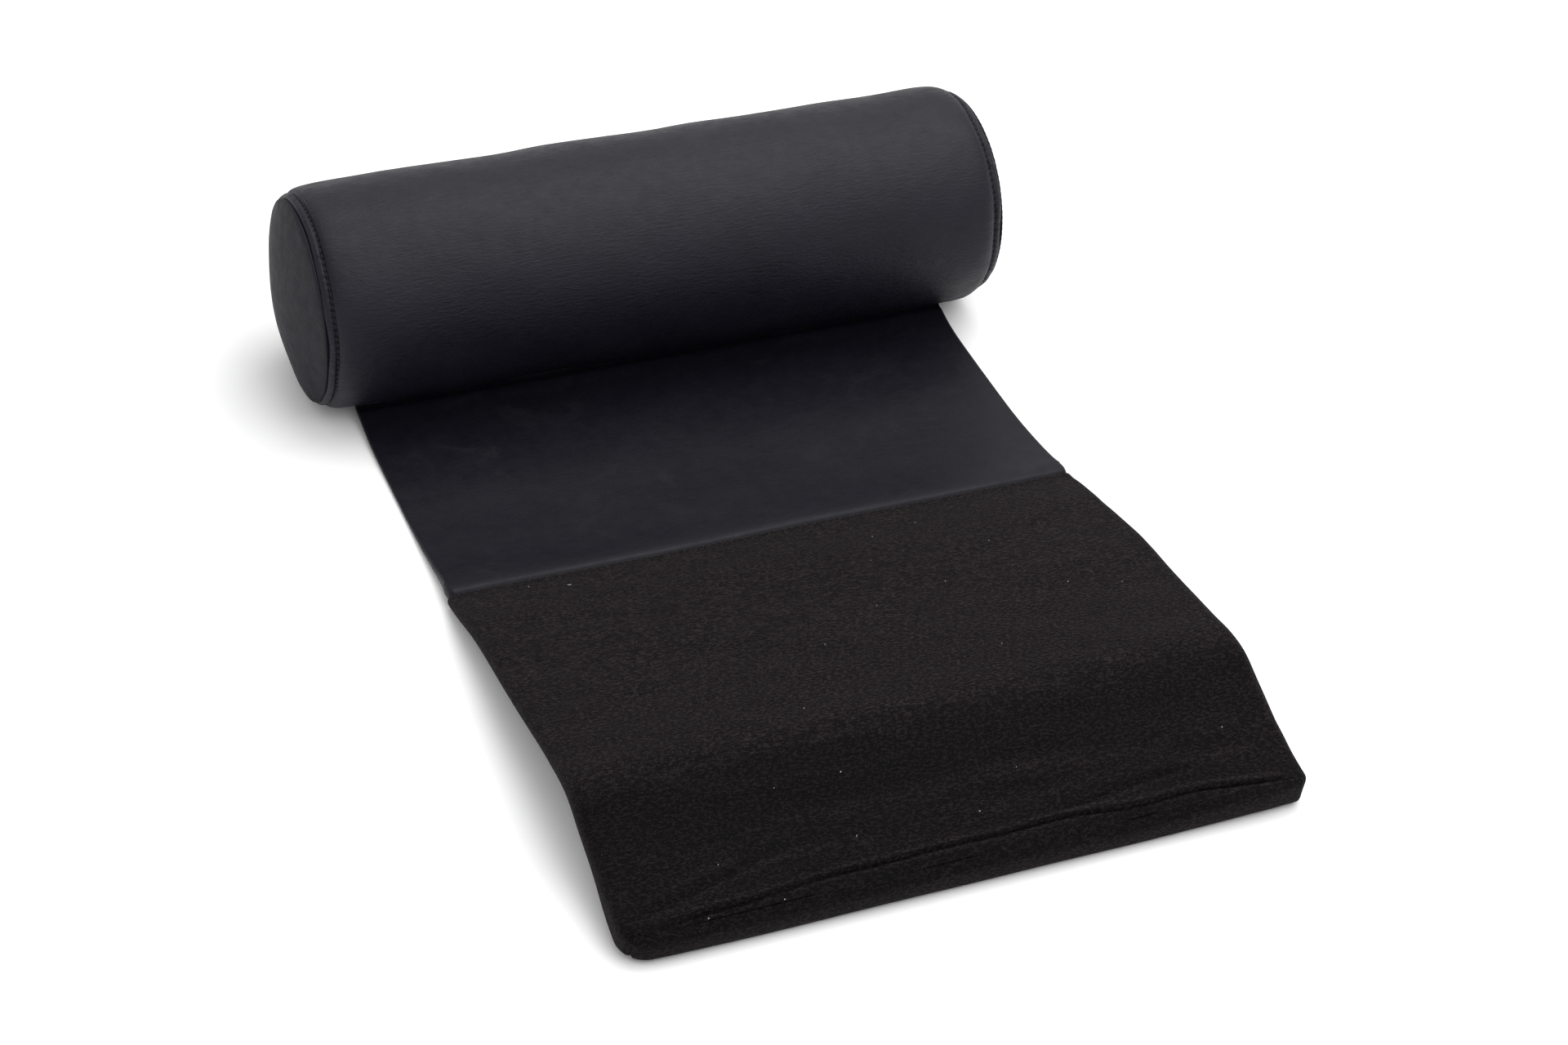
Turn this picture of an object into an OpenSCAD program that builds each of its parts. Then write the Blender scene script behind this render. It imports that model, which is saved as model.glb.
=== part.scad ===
// Neck bolster for a treatment table or lounger: a padded leatherette roll with a
// flap sewn under it, and a felt pouch with a counterweight at the flap's end.
// Millimetres. +Z up, X along the roll, the flap points towards -Y and lies on the
// surface that the bolster stands on. The origin is under the middle of the whole.

/* [Roll] */
// Diameter of the finished roll
roll_d = 120; // [110:1:135]
// Length of the roll between its two end seams
seam_l = 380; // [360:5:440]
// How far each padded end stands out past its seam
cap_bulge = 10; // [5:1:12]
// How much smaller the radius is at the end seams
seam_drop = 5.5; // [3:0.5:7]
// Distance of the topstitching from the end seam
stitch_in = 4.3; // [3:0.1:6]
// Width of the patch that flattens under the roll
rest_flat = 14; // [10:1:18]
// Thickness of the leatherette
cover_t = 1.2; // [1:0.1:1.4]
// Thickness of the wadding round the foam
wadding_t = 4; // [3:0.5:6]

/* [Flap] */
// Width of the leatherette part of the flap
flap_w = 334; // [300:1:340]
// Angle of the root seam, forward of the roll's lowest line
root_angle = 28; // [26:1:30]
// Thickness of each leatherette layer of the flap
flap_skin = 0.9; // [0.8:0.1:1]
// Thickness of the whole flap
flap_t = 2.6; // [2.4:0.1:2.8]

/* [Pouch] */
// Width of the felt pouch
pouch_w = 338; // [310:1:344]
// Thickness of the felt
felt_t = 1.5; // [1.2:0.1:1.8]
// Width of the weight bag
bag_w = 318; // [280:2:322]
// Thickness of the weight bag's ticking
ticking_t = 0.8; // [0.6:0.1:1]

/* [Zip] */
// Length of the closed zip
zip_l = 300; // [240:10:320]
// Angle of the zip, behind the roll's lowest line
zip_angle = 62; // [55:1:75]
// Width of each zip tape
tape_w = 12; // [9:1:14]

/* [Hidden] */
$fn = 96;

roll_r = roll_d / 2;
seam_r = roll_r - seam_drop;
roll_y = 197;                                   // the roll's axis
roll_z = sqrt(pow(roll_r, 2) - pow(rest_flat / 2, 2));
hinge_r = roll_r + 2.6;                         // the root seam's fold line, from the roll's axis
root_y = roll_y - hinge_r * sin(root_angle);
root_z = roll_z - hinge_r * cos(root_angle);
fold_y = -1;                                    // fold line between leatherette and felt
fold_z = 5.5;
crest_y = -178;                                 // fold line between pouch and weight pocket
crest_z = 32.3;
tape_t = 0.5;
liner_in = cover_t + tape_t + 0.2;              // how far inside the roll's outline each layer starts
wadding_in = liner_in + 0.4;
foam_in = wadding_in + wadding_t;
zip_x = zip_l / 2 - 7;                          // where the slider stands when the zip is closed
pull_r = roll_r + 3.2;                          // the pull's pivot, from the roll's axis

leather = [0.13, 0.13, 0.145];
felt = [0.10, 0.09, 0.09];

// ---- outlines -------------------------------------------------------------

// How far the surface has drawn in, a distance s from the end seam
function drawn_in(s) = seam_drop * (exp(-s / 6) - exp(-5)) / (1 - exp(-5));
// The shoulder swells from the end seam to the full radius: [radius, place along the roll]
function shoulder(o, sgn) = [for (i = [0 : 9])
    let (k = sgn > 0 ? 9 - i : i, s = 30 * pow(k / 9, 2))
    [roll_r - o - drawn_in(s), sgn * (seam_l / 2 - o - s)]];
// The padded end, from its seam to its middle
function dome(o) = [for (i = [0 : 8])
    let (r = (seam_r - o) * (1 - i / 8))
    [r, seam_l / 2 - o + cap_bulge * (1 - pow(r / (seam_r - o), 2.4))]];
function flip(pts) = [for (i = [len(pts) - 1 : -1 : 0]) pts[i]];
function mirror_y(pts) = [for (p = pts) [p[0], -p[1]]];
// The whole roll, a distance o inside its surface
function roll_outline(o) = concat(shoulder(o, -1), shoulder(o, 1), dome(o), flip(mirror_y(dome(o))));
function barrel_outline(o) = concat(shoulder(o, -1), shoulder(o, 1));

// The flap's underside, from the root seam to the felt
flap_y = [[root_y - 2.2, root_z - flap_t / 2], [150, 2.3], [130, 1.1], [110, 0.3], [95, 0],
    [55, 0], [40, 0.7], [25, 1.8], [12, 3.1], [fold_y + 2.4, fold_z - flap_t / 2]];
// Stations along the pouch and the weight pocket: [place, underside, top]
pouch_s = [[fold_y - 4.2, 3.2, 7.8], [-14, 5, 13], [-28, 7.6, 17.2], [-49, 11, 21.5],
    [-74, 15, 25.8], [-106, 19.5, 30.4], [-138, 24, 35], [-160, 26.8, 37.8], [crest_y + 5.6, 27.7, 36.9]];
pocket_s = [[crest_y - 5.2, 27.7, 36.7], [-200, 20.2, 32.4], [-220, 11.6, 26], [-236, 4.6, 21.5],
    [-246, 0, 18.8], [-252, 0, 17], [-257, 3.5, 11]];

// A band between two heights over a line of [place, height] points
function band(pts, a, b) = concat([for (p = pts) [p[0], p[1] + a]], flip([for (p = pts) [p[0], p[1] + b]]));
function low(s, d) = [for (p = s) [p[0], p[1] + d]];
function high(s, d) = [for (p = s) [p[0], p[2] - d]];
function middle(s) = [for (p = s) [p[0], (p[1] + p[2]) / 2]];
// A station part of the way from one to the next
function between(a, b, t) = [for (i = [0 : 2]) a[i] + t * (b[i] - a[i])];
// The outline of a padded length, a distance d inside its skin, without its first and last e millimetres
function inside(s, d, e) =
    let (n = len(s) - 1,
        t = [for (i = [0 : n]) i == 0 ? between(s[0], s[1], e / (s[0][0] - s[1][0]))
            : i == n ? between(s[n], s[n - 1], e / (s[n - 1][0] - s[n][0])) : s[i]])
    concat(low(t, d), flip(high(t, d)));

// ---- helpers --------------------------------------------------------------

// A [y, z] outline drawn out along X
module along_x(w, pts) {
    translate([-w / 2, 0, 0]) rotate([90, 0, 90]) linear_extrude(w) polygon(pts);
}
// A [radius, place] outline turned about the roll's axis
module turned(pts) {
    translate([0, roll_y, roll_z]) rotate([0, 90, 0]) rotate_extrude() polygon(pts);
}
module below_rest() {
    translate([-seam_l, roll_y - roll_d, -roll_d]) cube([2 * seam_l, 2 * roll_d, roll_d]);
}
// Drawn at the roll's lowest line and turned to an angle behind it
module at_angle(a) {
    translate([0, roll_y, roll_z]) rotate([a, 0, 0]) children();
}
module box(x, y, z) {
    translate([x[0], y[0], z[0]]) cube([x[1] - x[0], y[1] - y[0], z[1] - z[0]]);
}
// Room under the zip for the slider's inner plate
module zip_channel() {
    at_angle(zip_angle) box([-zip_l / 2 - 6, zip_l / 2 + 6], [-5, 5], [-roll_r, -roll_r + 3.7]);
}

// ---- roll -----------------------------------------------------------------

module foam_core() {
    color([0.93, 0.88, 0.70]) turned(roll_outline(foam_in));
}
module wadding_wrap() {
    color([0.95, 0.95, 0.93]) difference() {
        turned(roll_outline(wadding_in));
        turned(roll_outline(foam_in));
        zip_channel();
    }
}
module liner_sleeve() {
    color([0.86, 0.85, 0.80]) difference() {
        turned(roll_outline(liner_in));
        turned(roll_outline(wadding_in));
        zip_channel();
    }
}
module barrel_cover() {
    color(leather) difference() {
        turned(concat(barrel_outline(0), flip(barrel_outline(cover_t))));
        below_rest();
        at_angle(-root_angle) box([-flap_w / 2, flap_w / 2], [-flap_t / 2, flap_t / 2], [-roll_r - 2, -roll_r + 3]);
        at_angle(zip_angle) box([-zip_l / 2 - 4, zip_l / 2 + 4], [-2.3, 2.3], [-roll_r - 2, -roll_r + 3]);
    }
}
module end_cap(sgn) {
    color(leather) mirror([sgn > 0 ? 0 : 1, 0, 0])
        turned(concat(dome(0), flip(dome(cover_t))));
}
module end_cap_left() { end_cap(-1); }
module end_cap_right() { end_cap(1); }

// A ring of thread round the roll, just inside the end seam
module end_stitching(sgn) {
    r = roll_r - drawn_in(stitch_in) + 0.38;
    color([0.05, 0.05, 0.06]) translate([sgn * (seam_l / 2 - stitch_in), roll_y, roll_z])
        rotate([0, 90, 0]) rotate_extrude() translate([r, 0]) circle(r = 0.3, $fn = 24);
}
module end_stitching_left() { end_stitching(-1); }
module end_stitching_right() { end_stitching(1); }

// The flap's edge, caught between the two edges of the barrel cover
module root_strip() {
    color(leather) at_angle(-root_angle)
        box([-flap_w / 2, flap_w / 2], [-flap_t / 2, flap_t / 2], [-roll_r - 0.9, -roll_r + 1.7]);
}
module root_stitching() {
    color([0.05, 0.05, 0.06]) at_angle(-root_angle)
        translate([-flap_w / 2 + 3, flap_t / 2 + 2.2, -roll_r - 0.3])
        rotate([0, 90, 0]) cylinder(r = 0.28, h = flap_w - 6, $fn = 24);
}

// ---- zip ------------------------------------------------------------------

// A tape lies against the inside of the cover, on one side of the slit
module zip_tape(sgn) {
    a0 = asin(0.5 / roll_r);
    a1 = a0 + tape_w / (roll_r - cover_t) * 180 / PI;
    color([0.07, 0.07, 0.08]) at_angle(zip_angle) mirror([0, sgn > 0 ? 0 : 1, 0])
        rotate([0, 90, 0]) rotate([0, 0, a0]) rotate_extrude(angle = a1 - a0)
        translate([roll_r - cover_t - tape_t, -zip_l / 2 - 6]) square([tape_t, zip_l + 12]);
}
module zip_tape_upper() { zip_tape(1); }
module zip_tape_lower() { zip_tape(-1); }
module zip_coil(sgn) {
    color([0.06, 0.06, 0.07]) at_angle(zip_angle)
        box([-zip_l / 2, zip_l / 2], sgn > 0 ? [0.5, 2.1] : [-2.1, -0.5], [-roll_r - 0.2, -roll_r + cover_t]);
}
module zip_coil_upper() { zip_coil(1); }
module zip_coil_lower() { zip_coil(-1); }
module zip_stop(sgn) {
    color([0.45, 0.45, 0.47]) at_angle(zip_angle) translate([sgn * (zip_l / 2 + 1.3), 0, 0])
        box([-1.3, 1.3], [-2, 2], [-roll_r - 0.5, -roll_r + cover_t]);
}
module zip_stop_left() { zip_stop(-1); }
module zip_stop_right() { zip_stop(1); }

// Two plates joined by a thin post that runs between the coils, with an eye for the pull
module zip_slider() {
    color([0.30, 0.30, 0.32]) at_angle(zip_angle) translate([zip_x, 0, 0]) {
        difference() {
            union() {
                box([-4.5, 4.5], [-3.5, 3.5], [-roll_r - 2, -roll_r - 0.5]);
                box([-1.9, 1.9], [-1, 1], [-roll_r - 4.4, -roll_r - 2]);
            }
            translate([0, 5, -pull_r]) rotate([90, 0, 0]) cylinder(r = 0.75, h = 10);
        }
        box([-1.5, 3.5], [-0.2, 0.2], [-roll_r - 0.5, -roll_r + 2.2]);
        box([-4.5, 4.5], [-3, 3], [-roll_r + 2.2, -roll_r + 3.2]);
    }
}
// A flat tab with two arms, and the pin that they hold in the slider's eye
module zip_pull() {
    color([0.30, 0.30, 0.32]) at_angle(zip_angle) translate([zip_x, 0, -pull_r]) {
        translate([0, 2.3, 0]) rotate([90, 0, 0]) cylinder(r = 0.65, h = 4.6);
        for (s = [-1, 1]) translate([0, s * 1.85, 0]) {
            translate([0, 0.55, 0]) rotate([90, 0, 0]) cylinder(r = 0.85, h = 1.1);
            translate([0, -0.55, -0.5]) cube([6, 1.1, 1]);
        }
        difference() {
            translate([4.5, -2.4, -0.5]) cube([13, 4.8, 1]);
            translate([14.5, 0, -1]) cylinder(r = 1.3, h = 2);
        }
    }
}

// ---- flap -----------------------------------------------------------------

module flap_lining() {
    color(leather) along_x(flap_w, band(flap_y, 0, flap_skin));
}
module flap_stiffener() {
    color([0.75, 0.75, 0.72]) along_x(flap_w - 8, band(flap_y, flap_skin, flap_t - flap_skin));
}
// The facing turns down over the stiffener at both sides
module flap_facing() {
    color(leather) difference() {
        along_x(flap_w, band(flap_y, flap_skin, flap_t));
        along_x(flap_w - 8, band(flap_y, flap_skin - 1, flap_t - flap_skin));
    }
}
module pouch_stitching() {
    color([0.05, 0.05, 0.06]) translate([-flap_w / 2 + 3, fold_y + 5, fold_z + flap_t / 2 + 0.2])
        rotate([0, 90, 0]) cylinder(r = 0.25, h = flap_w - 6, $fn = 24);
}

// ---- pouch ----------------------------------------------------------------

module felt_half(s, top) {
    color(felt) difference() {
        along_x(pouch_w, top ? concat(middle(s), flip(high(s, 0))) : concat(low(s, 0), flip(middle(s))));
        along_x(pouch_w - 2 * felt_t, inside(s, felt_t, felt_t));
    }
}
module pouch_top_felt() { felt_half(pouch_s, true); }
module pouch_bottom_felt() { felt_half(pouch_s, false); }
// A stiff pad that keeps the bend it was given
module pouch_padding() {
    color([0.40, 0.40, 0.38]) along_x(pouch_w - 2 * felt_t - 4, inside(pouch_s, felt_t + 0.1, felt_t + 2));
}
module pocket_top_felt() { felt_half(pocket_s, true); }
module pocket_bottom_felt() { felt_half(pocket_s, false); }
module weight_bag() {
    color([0.80, 0.76, 0.66]) difference() {
        along_x(bag_w, inside(pocket_s, felt_t + 0.2, felt_t + 1.5));
        along_x(bag_w - 2 * ticking_t, inside(pocket_s, felt_t + 0.2 + ticking_t, felt_t + 1.5 + ticking_t));
    }
}
module weight_fill() {
    color([0.70, 0.62, 0.48])
        along_x(bag_w - 2 * ticking_t, inside(pocket_s, felt_t + 0.2 + ticking_t, felt_t + 1.5 + ticking_t));
}

// ---- output ---------------------------------------------------------------

foam_core();
wadding_wrap();
liner_sleeve();
barrel_cover();
end_cap_left();
end_cap_right();
end_stitching_left();
end_stitching_right();
root_strip();
root_stitching();
zip_tape_upper();
zip_tape_lower();
zip_coil_upper();
zip_coil_lower();
zip_stop_left();
zip_stop_right();
zip_slider();
zip_pull();
flap_facing();
flap_stiffener();
flap_lining();
pouch_stitching();
pouch_top_felt();
pouch_bottom_felt();
pouch_padding();
pocket_top_felt();
pocket_bottom_felt();
weight_bag();
weight_fill();
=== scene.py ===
import math

import bmesh
import bpy
import numpy as np
from mathutils import Matrix, Vector


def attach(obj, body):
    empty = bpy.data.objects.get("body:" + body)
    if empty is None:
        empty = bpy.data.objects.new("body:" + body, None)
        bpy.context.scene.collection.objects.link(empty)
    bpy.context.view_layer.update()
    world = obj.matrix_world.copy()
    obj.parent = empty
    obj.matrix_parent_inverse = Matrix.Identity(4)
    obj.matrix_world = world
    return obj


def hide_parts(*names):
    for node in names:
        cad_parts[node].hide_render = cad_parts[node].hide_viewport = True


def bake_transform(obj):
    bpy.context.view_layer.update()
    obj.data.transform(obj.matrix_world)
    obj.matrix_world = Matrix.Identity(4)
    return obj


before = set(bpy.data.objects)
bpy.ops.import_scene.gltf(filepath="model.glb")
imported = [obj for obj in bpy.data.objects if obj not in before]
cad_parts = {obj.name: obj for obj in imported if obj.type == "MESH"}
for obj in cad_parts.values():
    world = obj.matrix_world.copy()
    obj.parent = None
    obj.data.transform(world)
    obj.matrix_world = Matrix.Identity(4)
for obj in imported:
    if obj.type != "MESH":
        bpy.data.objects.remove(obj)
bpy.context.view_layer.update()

# Millimetres below, metres in the meshes. The numbers repeat the CAD's own.
MM = 0.001
ROLL_Y, ROLL_R, SEAM_X = 197.0, 60.0, 190.0
ROLL_Z = math.sqrt(ROLL_R ** 2 - 7.0 ** 2)
SEAM_R = 54.5
ROOT_A, ZIP_A = -28.0, 62.0            # from the roll's lowest line, + towards the back
FOLD_Y, FOLD_Z = -1.0, 5.5             # line between leather and felt
CREST_Y, CREST_Z = -178.0, 32.3        # line between pouch and weight pocket
STITCHES = 103                         # in one ring
STITCH_IN = 4.3


# ---- small tools ------------------------------------------------------------

def rng(seed):
    return np.random.default_rng(seed)


def pchip(xs, ys):
    """A smooth curve through points, without overshoot; returns a function of numpy arrays."""
    x, y = np.array(xs, float), np.array(ys, float)
    h, d = np.diff(x), np.diff(y) / np.diff(x)
    m = np.zeros_like(y)
    for i in range(1, len(x) - 1):
        if d[i - 1] * d[i] > 0:
            w1, w2 = 2 * h[i] + h[i - 1], h[i] + 2 * h[i - 1]
            m[i] = (w1 + w2) / (w1 / d[i - 1] + w2 / d[i])
    m[0], m[-1] = d[0], d[-1]

    def f(q):
        q = np.asarray(q, float)
        k = np.clip(np.searchsorted(x, q) - 1, 0, len(h) - 1)
        t = np.clip((q - x[k]) / h[k], 0, 1)
        return ((2 * t ** 3 - 3 * t ** 2 + 1) * y[k] + (t ** 3 - 2 * t ** 2 + t) * h[k] * m[k]
                + (-2 * t ** 3 + 3 * t ** 2) * y[k + 1] + (t ** 3 - t ** 2) * h[k] * m[k + 1])
    return f


def spline(xs, ys):
    """A natural cubic through points, for outlines that may swing past them a little."""
    x, y = np.array(xs, float), np.array(ys, float)
    n = len(x)
    h = np.diff(x)
    A, b = np.zeros((n, n)), np.zeros(n)
    A[0, 0] = A[-1, -1] = 1
    for i in range(1, n - 1):
        A[i, i - 1], A[i, i], A[i, i + 1] = h[i - 1], 2 * (h[i - 1] + h[i]), h[i]
        b[i] = 6 * ((y[i + 1] - y[i]) / h[i] - (y[i] - y[i - 1]) / h[i - 1])
    m = np.linalg.solve(A, b)

    def f(q):
        q = np.clip(np.asarray(q, float), x[0], x[-1])
        k = np.clip(np.searchsorted(x, q) - 1, 0, n - 2)
        a, c = x[k + 1] - q, q - x[k]
        return (m[k] * a ** 3 + m[k + 1] * c ** 3) / (6 * h[k]) + (y[k] / h[k] - m[k] * h[k] / 6) * a \
            + (y[k + 1] / h[k] - m[k + 1] * h[k] / 6) * c
    return f


def smooth(a, b, q):
    t = np.clip((np.asarray(q, float) - a) / (b - a), 0, 1)
    return t * t * (3 - 2 * t)


def waves(seed, u, v, lu, lv, n=14):
    """Soft random swell, about -1 to 1, with wavelengths lu and lv (each a pair) along u and v."""
    g = rng(seed)
    out = np.zeros(np.broadcast(u, v).shape)
    for _ in range(n):
        a, b = g.uniform(*lu), g.uniform(*lv)
        s = 1 if g.random() < 0.5 else -1
        out = out + np.sin(2 * math.pi * (u / a + s * v / b) + g.uniform(0, 2 * math.pi))
    return out / math.sqrt(n) * 0.9


def make_mesh(name, verts_mm, quads, tris=(), surf=None, flip=None):
    """A smooth-shaded object from millimetre vertices; surf is the place on the unrolled material, in millimetres."""
    v = np.asarray(verts_mm, float).reshape(-1, 3) * MM
    me = bpy.data.meshes.new(name)
    faces = [np.asarray(quads, np.int32).reshape(-1, 4)] if len(quads) else []
    if len(tris):
        faces.append(np.asarray(tris, np.int32).reshape(-1, 3))
    me.vertices.add(len(v))
    me.vertices.foreach_set("co", v.astype(np.float32).ravel())
    loops = np.concatenate([f.ravel() for f in faces])
    sizes = np.concatenate([np.full(len(f), f.shape[1], np.int32) for f in faces])
    me.loops.add(len(loops))
    me.loops.foreach_set("vertex_index", loops)
    me.polygons.add(len(sizes))
    me.polygons.foreach_set("loop_start", np.concatenate([[0], np.cumsum(sizes)[:-1]]).astype(np.int32))
    me.polygons.foreach_set("loop_total", sizes)
    me.polygons.foreach_set("use_smooth", np.ones(len(sizes), bool))
    me.update(calc_edges=True)
    me.validate()
    if surf is not None:
        a = me.attributes.new("surf", "FLOAT_VECTOR", "POINT")
        a.data.foreach_set("vector", np.asarray(surf, np.float32).reshape(-1, 3).ravel())
    if flip is None:
        bm = bmesh.new()
        bm.from_mesh(me)
        bmesh.ops.recalc_face_normals(bm, faces=bm.faces)
        bm.to_mesh(me)
        bm.free()
    elif flip:
        me.flip_normals()
    ob = bpy.data.objects.new(name, me)
    bpy.context.scene.collection.objects.link(ob)
    return ob


def grid_quads(nu, nv, base=0, wrap_u=False, wrap_v=False):
    i = np.arange(nu if wrap_u else nu - 1)
    j = np.arange(nv if wrap_v else nv - 1)
    I, J = np.meshgrid(i, j, indexing="ij")
    I2, J2 = (I + 1) % nu, (J + 1) % nv
    q = np.stack([I * nv + J, I2 * nv + J, I2 * nv + J2, I * nv + J2], -1).reshape(-1, 4)
    return q + base


def normals_of(P, wrap_u=False):
    """Unit normals of a grid of points (nu, nv, 3)."""
    du = np.gradient(P, axis=0)
    if wrap_u:
        du = (np.roll(P, -1, 0) - np.roll(P, 1, 0)) / 2
    dv = np.gradient(P, axis=1)
    n = np.cross(du, dv)
    return n / np.maximum(np.linalg.norm(n, axis=-1, keepdims=True), 1e-9)


def shell_from_grid(name, P, inner, surf, wrap_u=False, close_v=(True, True), poles=None):
    """A closed skin between the grid P and the grid inner, both (nu, nv, 3)."""
    nu, nv = P.shape[:2]
    V = np.concatenate([P.reshape(-1, 3), inner.reshape(-1, 3)])
    S = np.concatenate([surf.reshape(-1, 3), surf.reshape(-1, 3) + [0, 0, 3]])
    q = [grid_quads(nu, nv, 0, wrap_u), grid_quads(nu, nv, nu * nv, wrap_u)[:, ::-1]]
    o = nu * nv

    def rim(line):
        a = np.asarray(line)
        return np.stack([a[:-1], a[1:], a[1:] + o, a[:-1] + o], -1)
    idx = np.arange(nu * nv).reshape(nu, nv)
    if not wrap_u:
        q += [rim(idx[0, :]), rim(idx[-1, ::-1])]
    for k, end in enumerate((0, -1)):
        if close_v[k]:
            line = idx[:, end]
            if wrap_u:
                line = np.append(line, line[0])
            q.append(rim(line))
    tris = []
    if poles is not None:      # the last column closes on one point, outside and inside
        pi = len(V)
        V = np.concatenate([V, poles[0][None], poles[1][None]])
        S = np.concatenate([S, poles[2][None], poles[2][None]])
        ring = idx[:, -1]
        for a, b in zip(ring, np.roll(ring, -1)):
            tris += [(a, b, pi), (b + o, a + o, pi + 1)]
    return make_mesh(name, V, np.concatenate(q), tris, S)


def capsules(name, starts, ends, radius, sink=0.0, sides=7, normal=None):
    """Many short threads in one mesh, each a rounded tube from a start to an end, in millimetres."""
    V, Q, T, S = [], [], [], []
    caps = [(-1.0, 0.30), (-0.80, 0.66), (-0.45, 0.90), (0.0, 1.0)]
    prof = [(t, r) for t, r in caps] + [(-t, r) for t, r in caps[::-1]]
    n = len(prof)
    for i, (a, b) in enumerate(zip(starts, ends)):
        a, b = np.array(a, float), np.array(b, float)
        d = b - a
        L = np.linalg.norm(d)
        d /= L
        up = np.array(normal[i] if normal is not None else (0, 0, 1), float)
        up -= d * (up @ d)
        up /= np.linalg.norm(up)
        side = np.cross(d, up)
        base = len(V)
        for k, (t, r) in enumerate(prof):
            half = k < n // 2
            c = (a + d * radius) if half else (b - d * radius)
            for s in range(sides):
                th = 2 * math.pi * s / sides
                p = c + d * (t * radius) + (up * math.cos(th) * 0.85 + side * math.sin(th)) * radius * r
                mid = 1 - abs((k - (n - 1) / 2) / ((n - 1) / 2))
                p = p + up * (sink * mid)
                V.append(p)
                S.append((i * 5.0 + k * 0.4, th, 0))
        for k in range(n - 1):
            for s in range(sides):
                s2 = (s + 1) % sides
                Q.append((base + k * sides + s, base + k * sides + s2, base + (k + 1) * sides + s2, base + (k + 1) * sides + s))
        last = base + (n - 1) * sides
        for s in range(1, sides - 1):
            T += [(base, base + s + 1, base + s), (last, last + s, last + s + 1)]
    return make_mesh(name, V, Q, T, S)


def on_roll(angle, r, x):
    """A point at an angle from the roll's lowest line (degrees), a radius and a place along the roll."""
    a = np.radians(angle)
    return np.stack(np.broadcast_arrays(x, ROLL_Y + r * np.sin(a), ROLL_Z - r * np.cos(a)), -1)


def at_angle(a, x, t, r):
    """A point on the zip's own frame: along the roll, sideways and outwards."""
    a = math.radians(a)
    x, t, r = np.broadcast_arrays(np.asarray(x, float), np.asarray(t, float), np.asarray(r, float))
    return np.stack([x, ROLL_Y + r * math.sin(a) + t * math.cos(a), ROLL_Z - r * math.cos(a) + t * math.sin(a)], -1)


# ---- materials --------------------------------------------------------------

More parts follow.
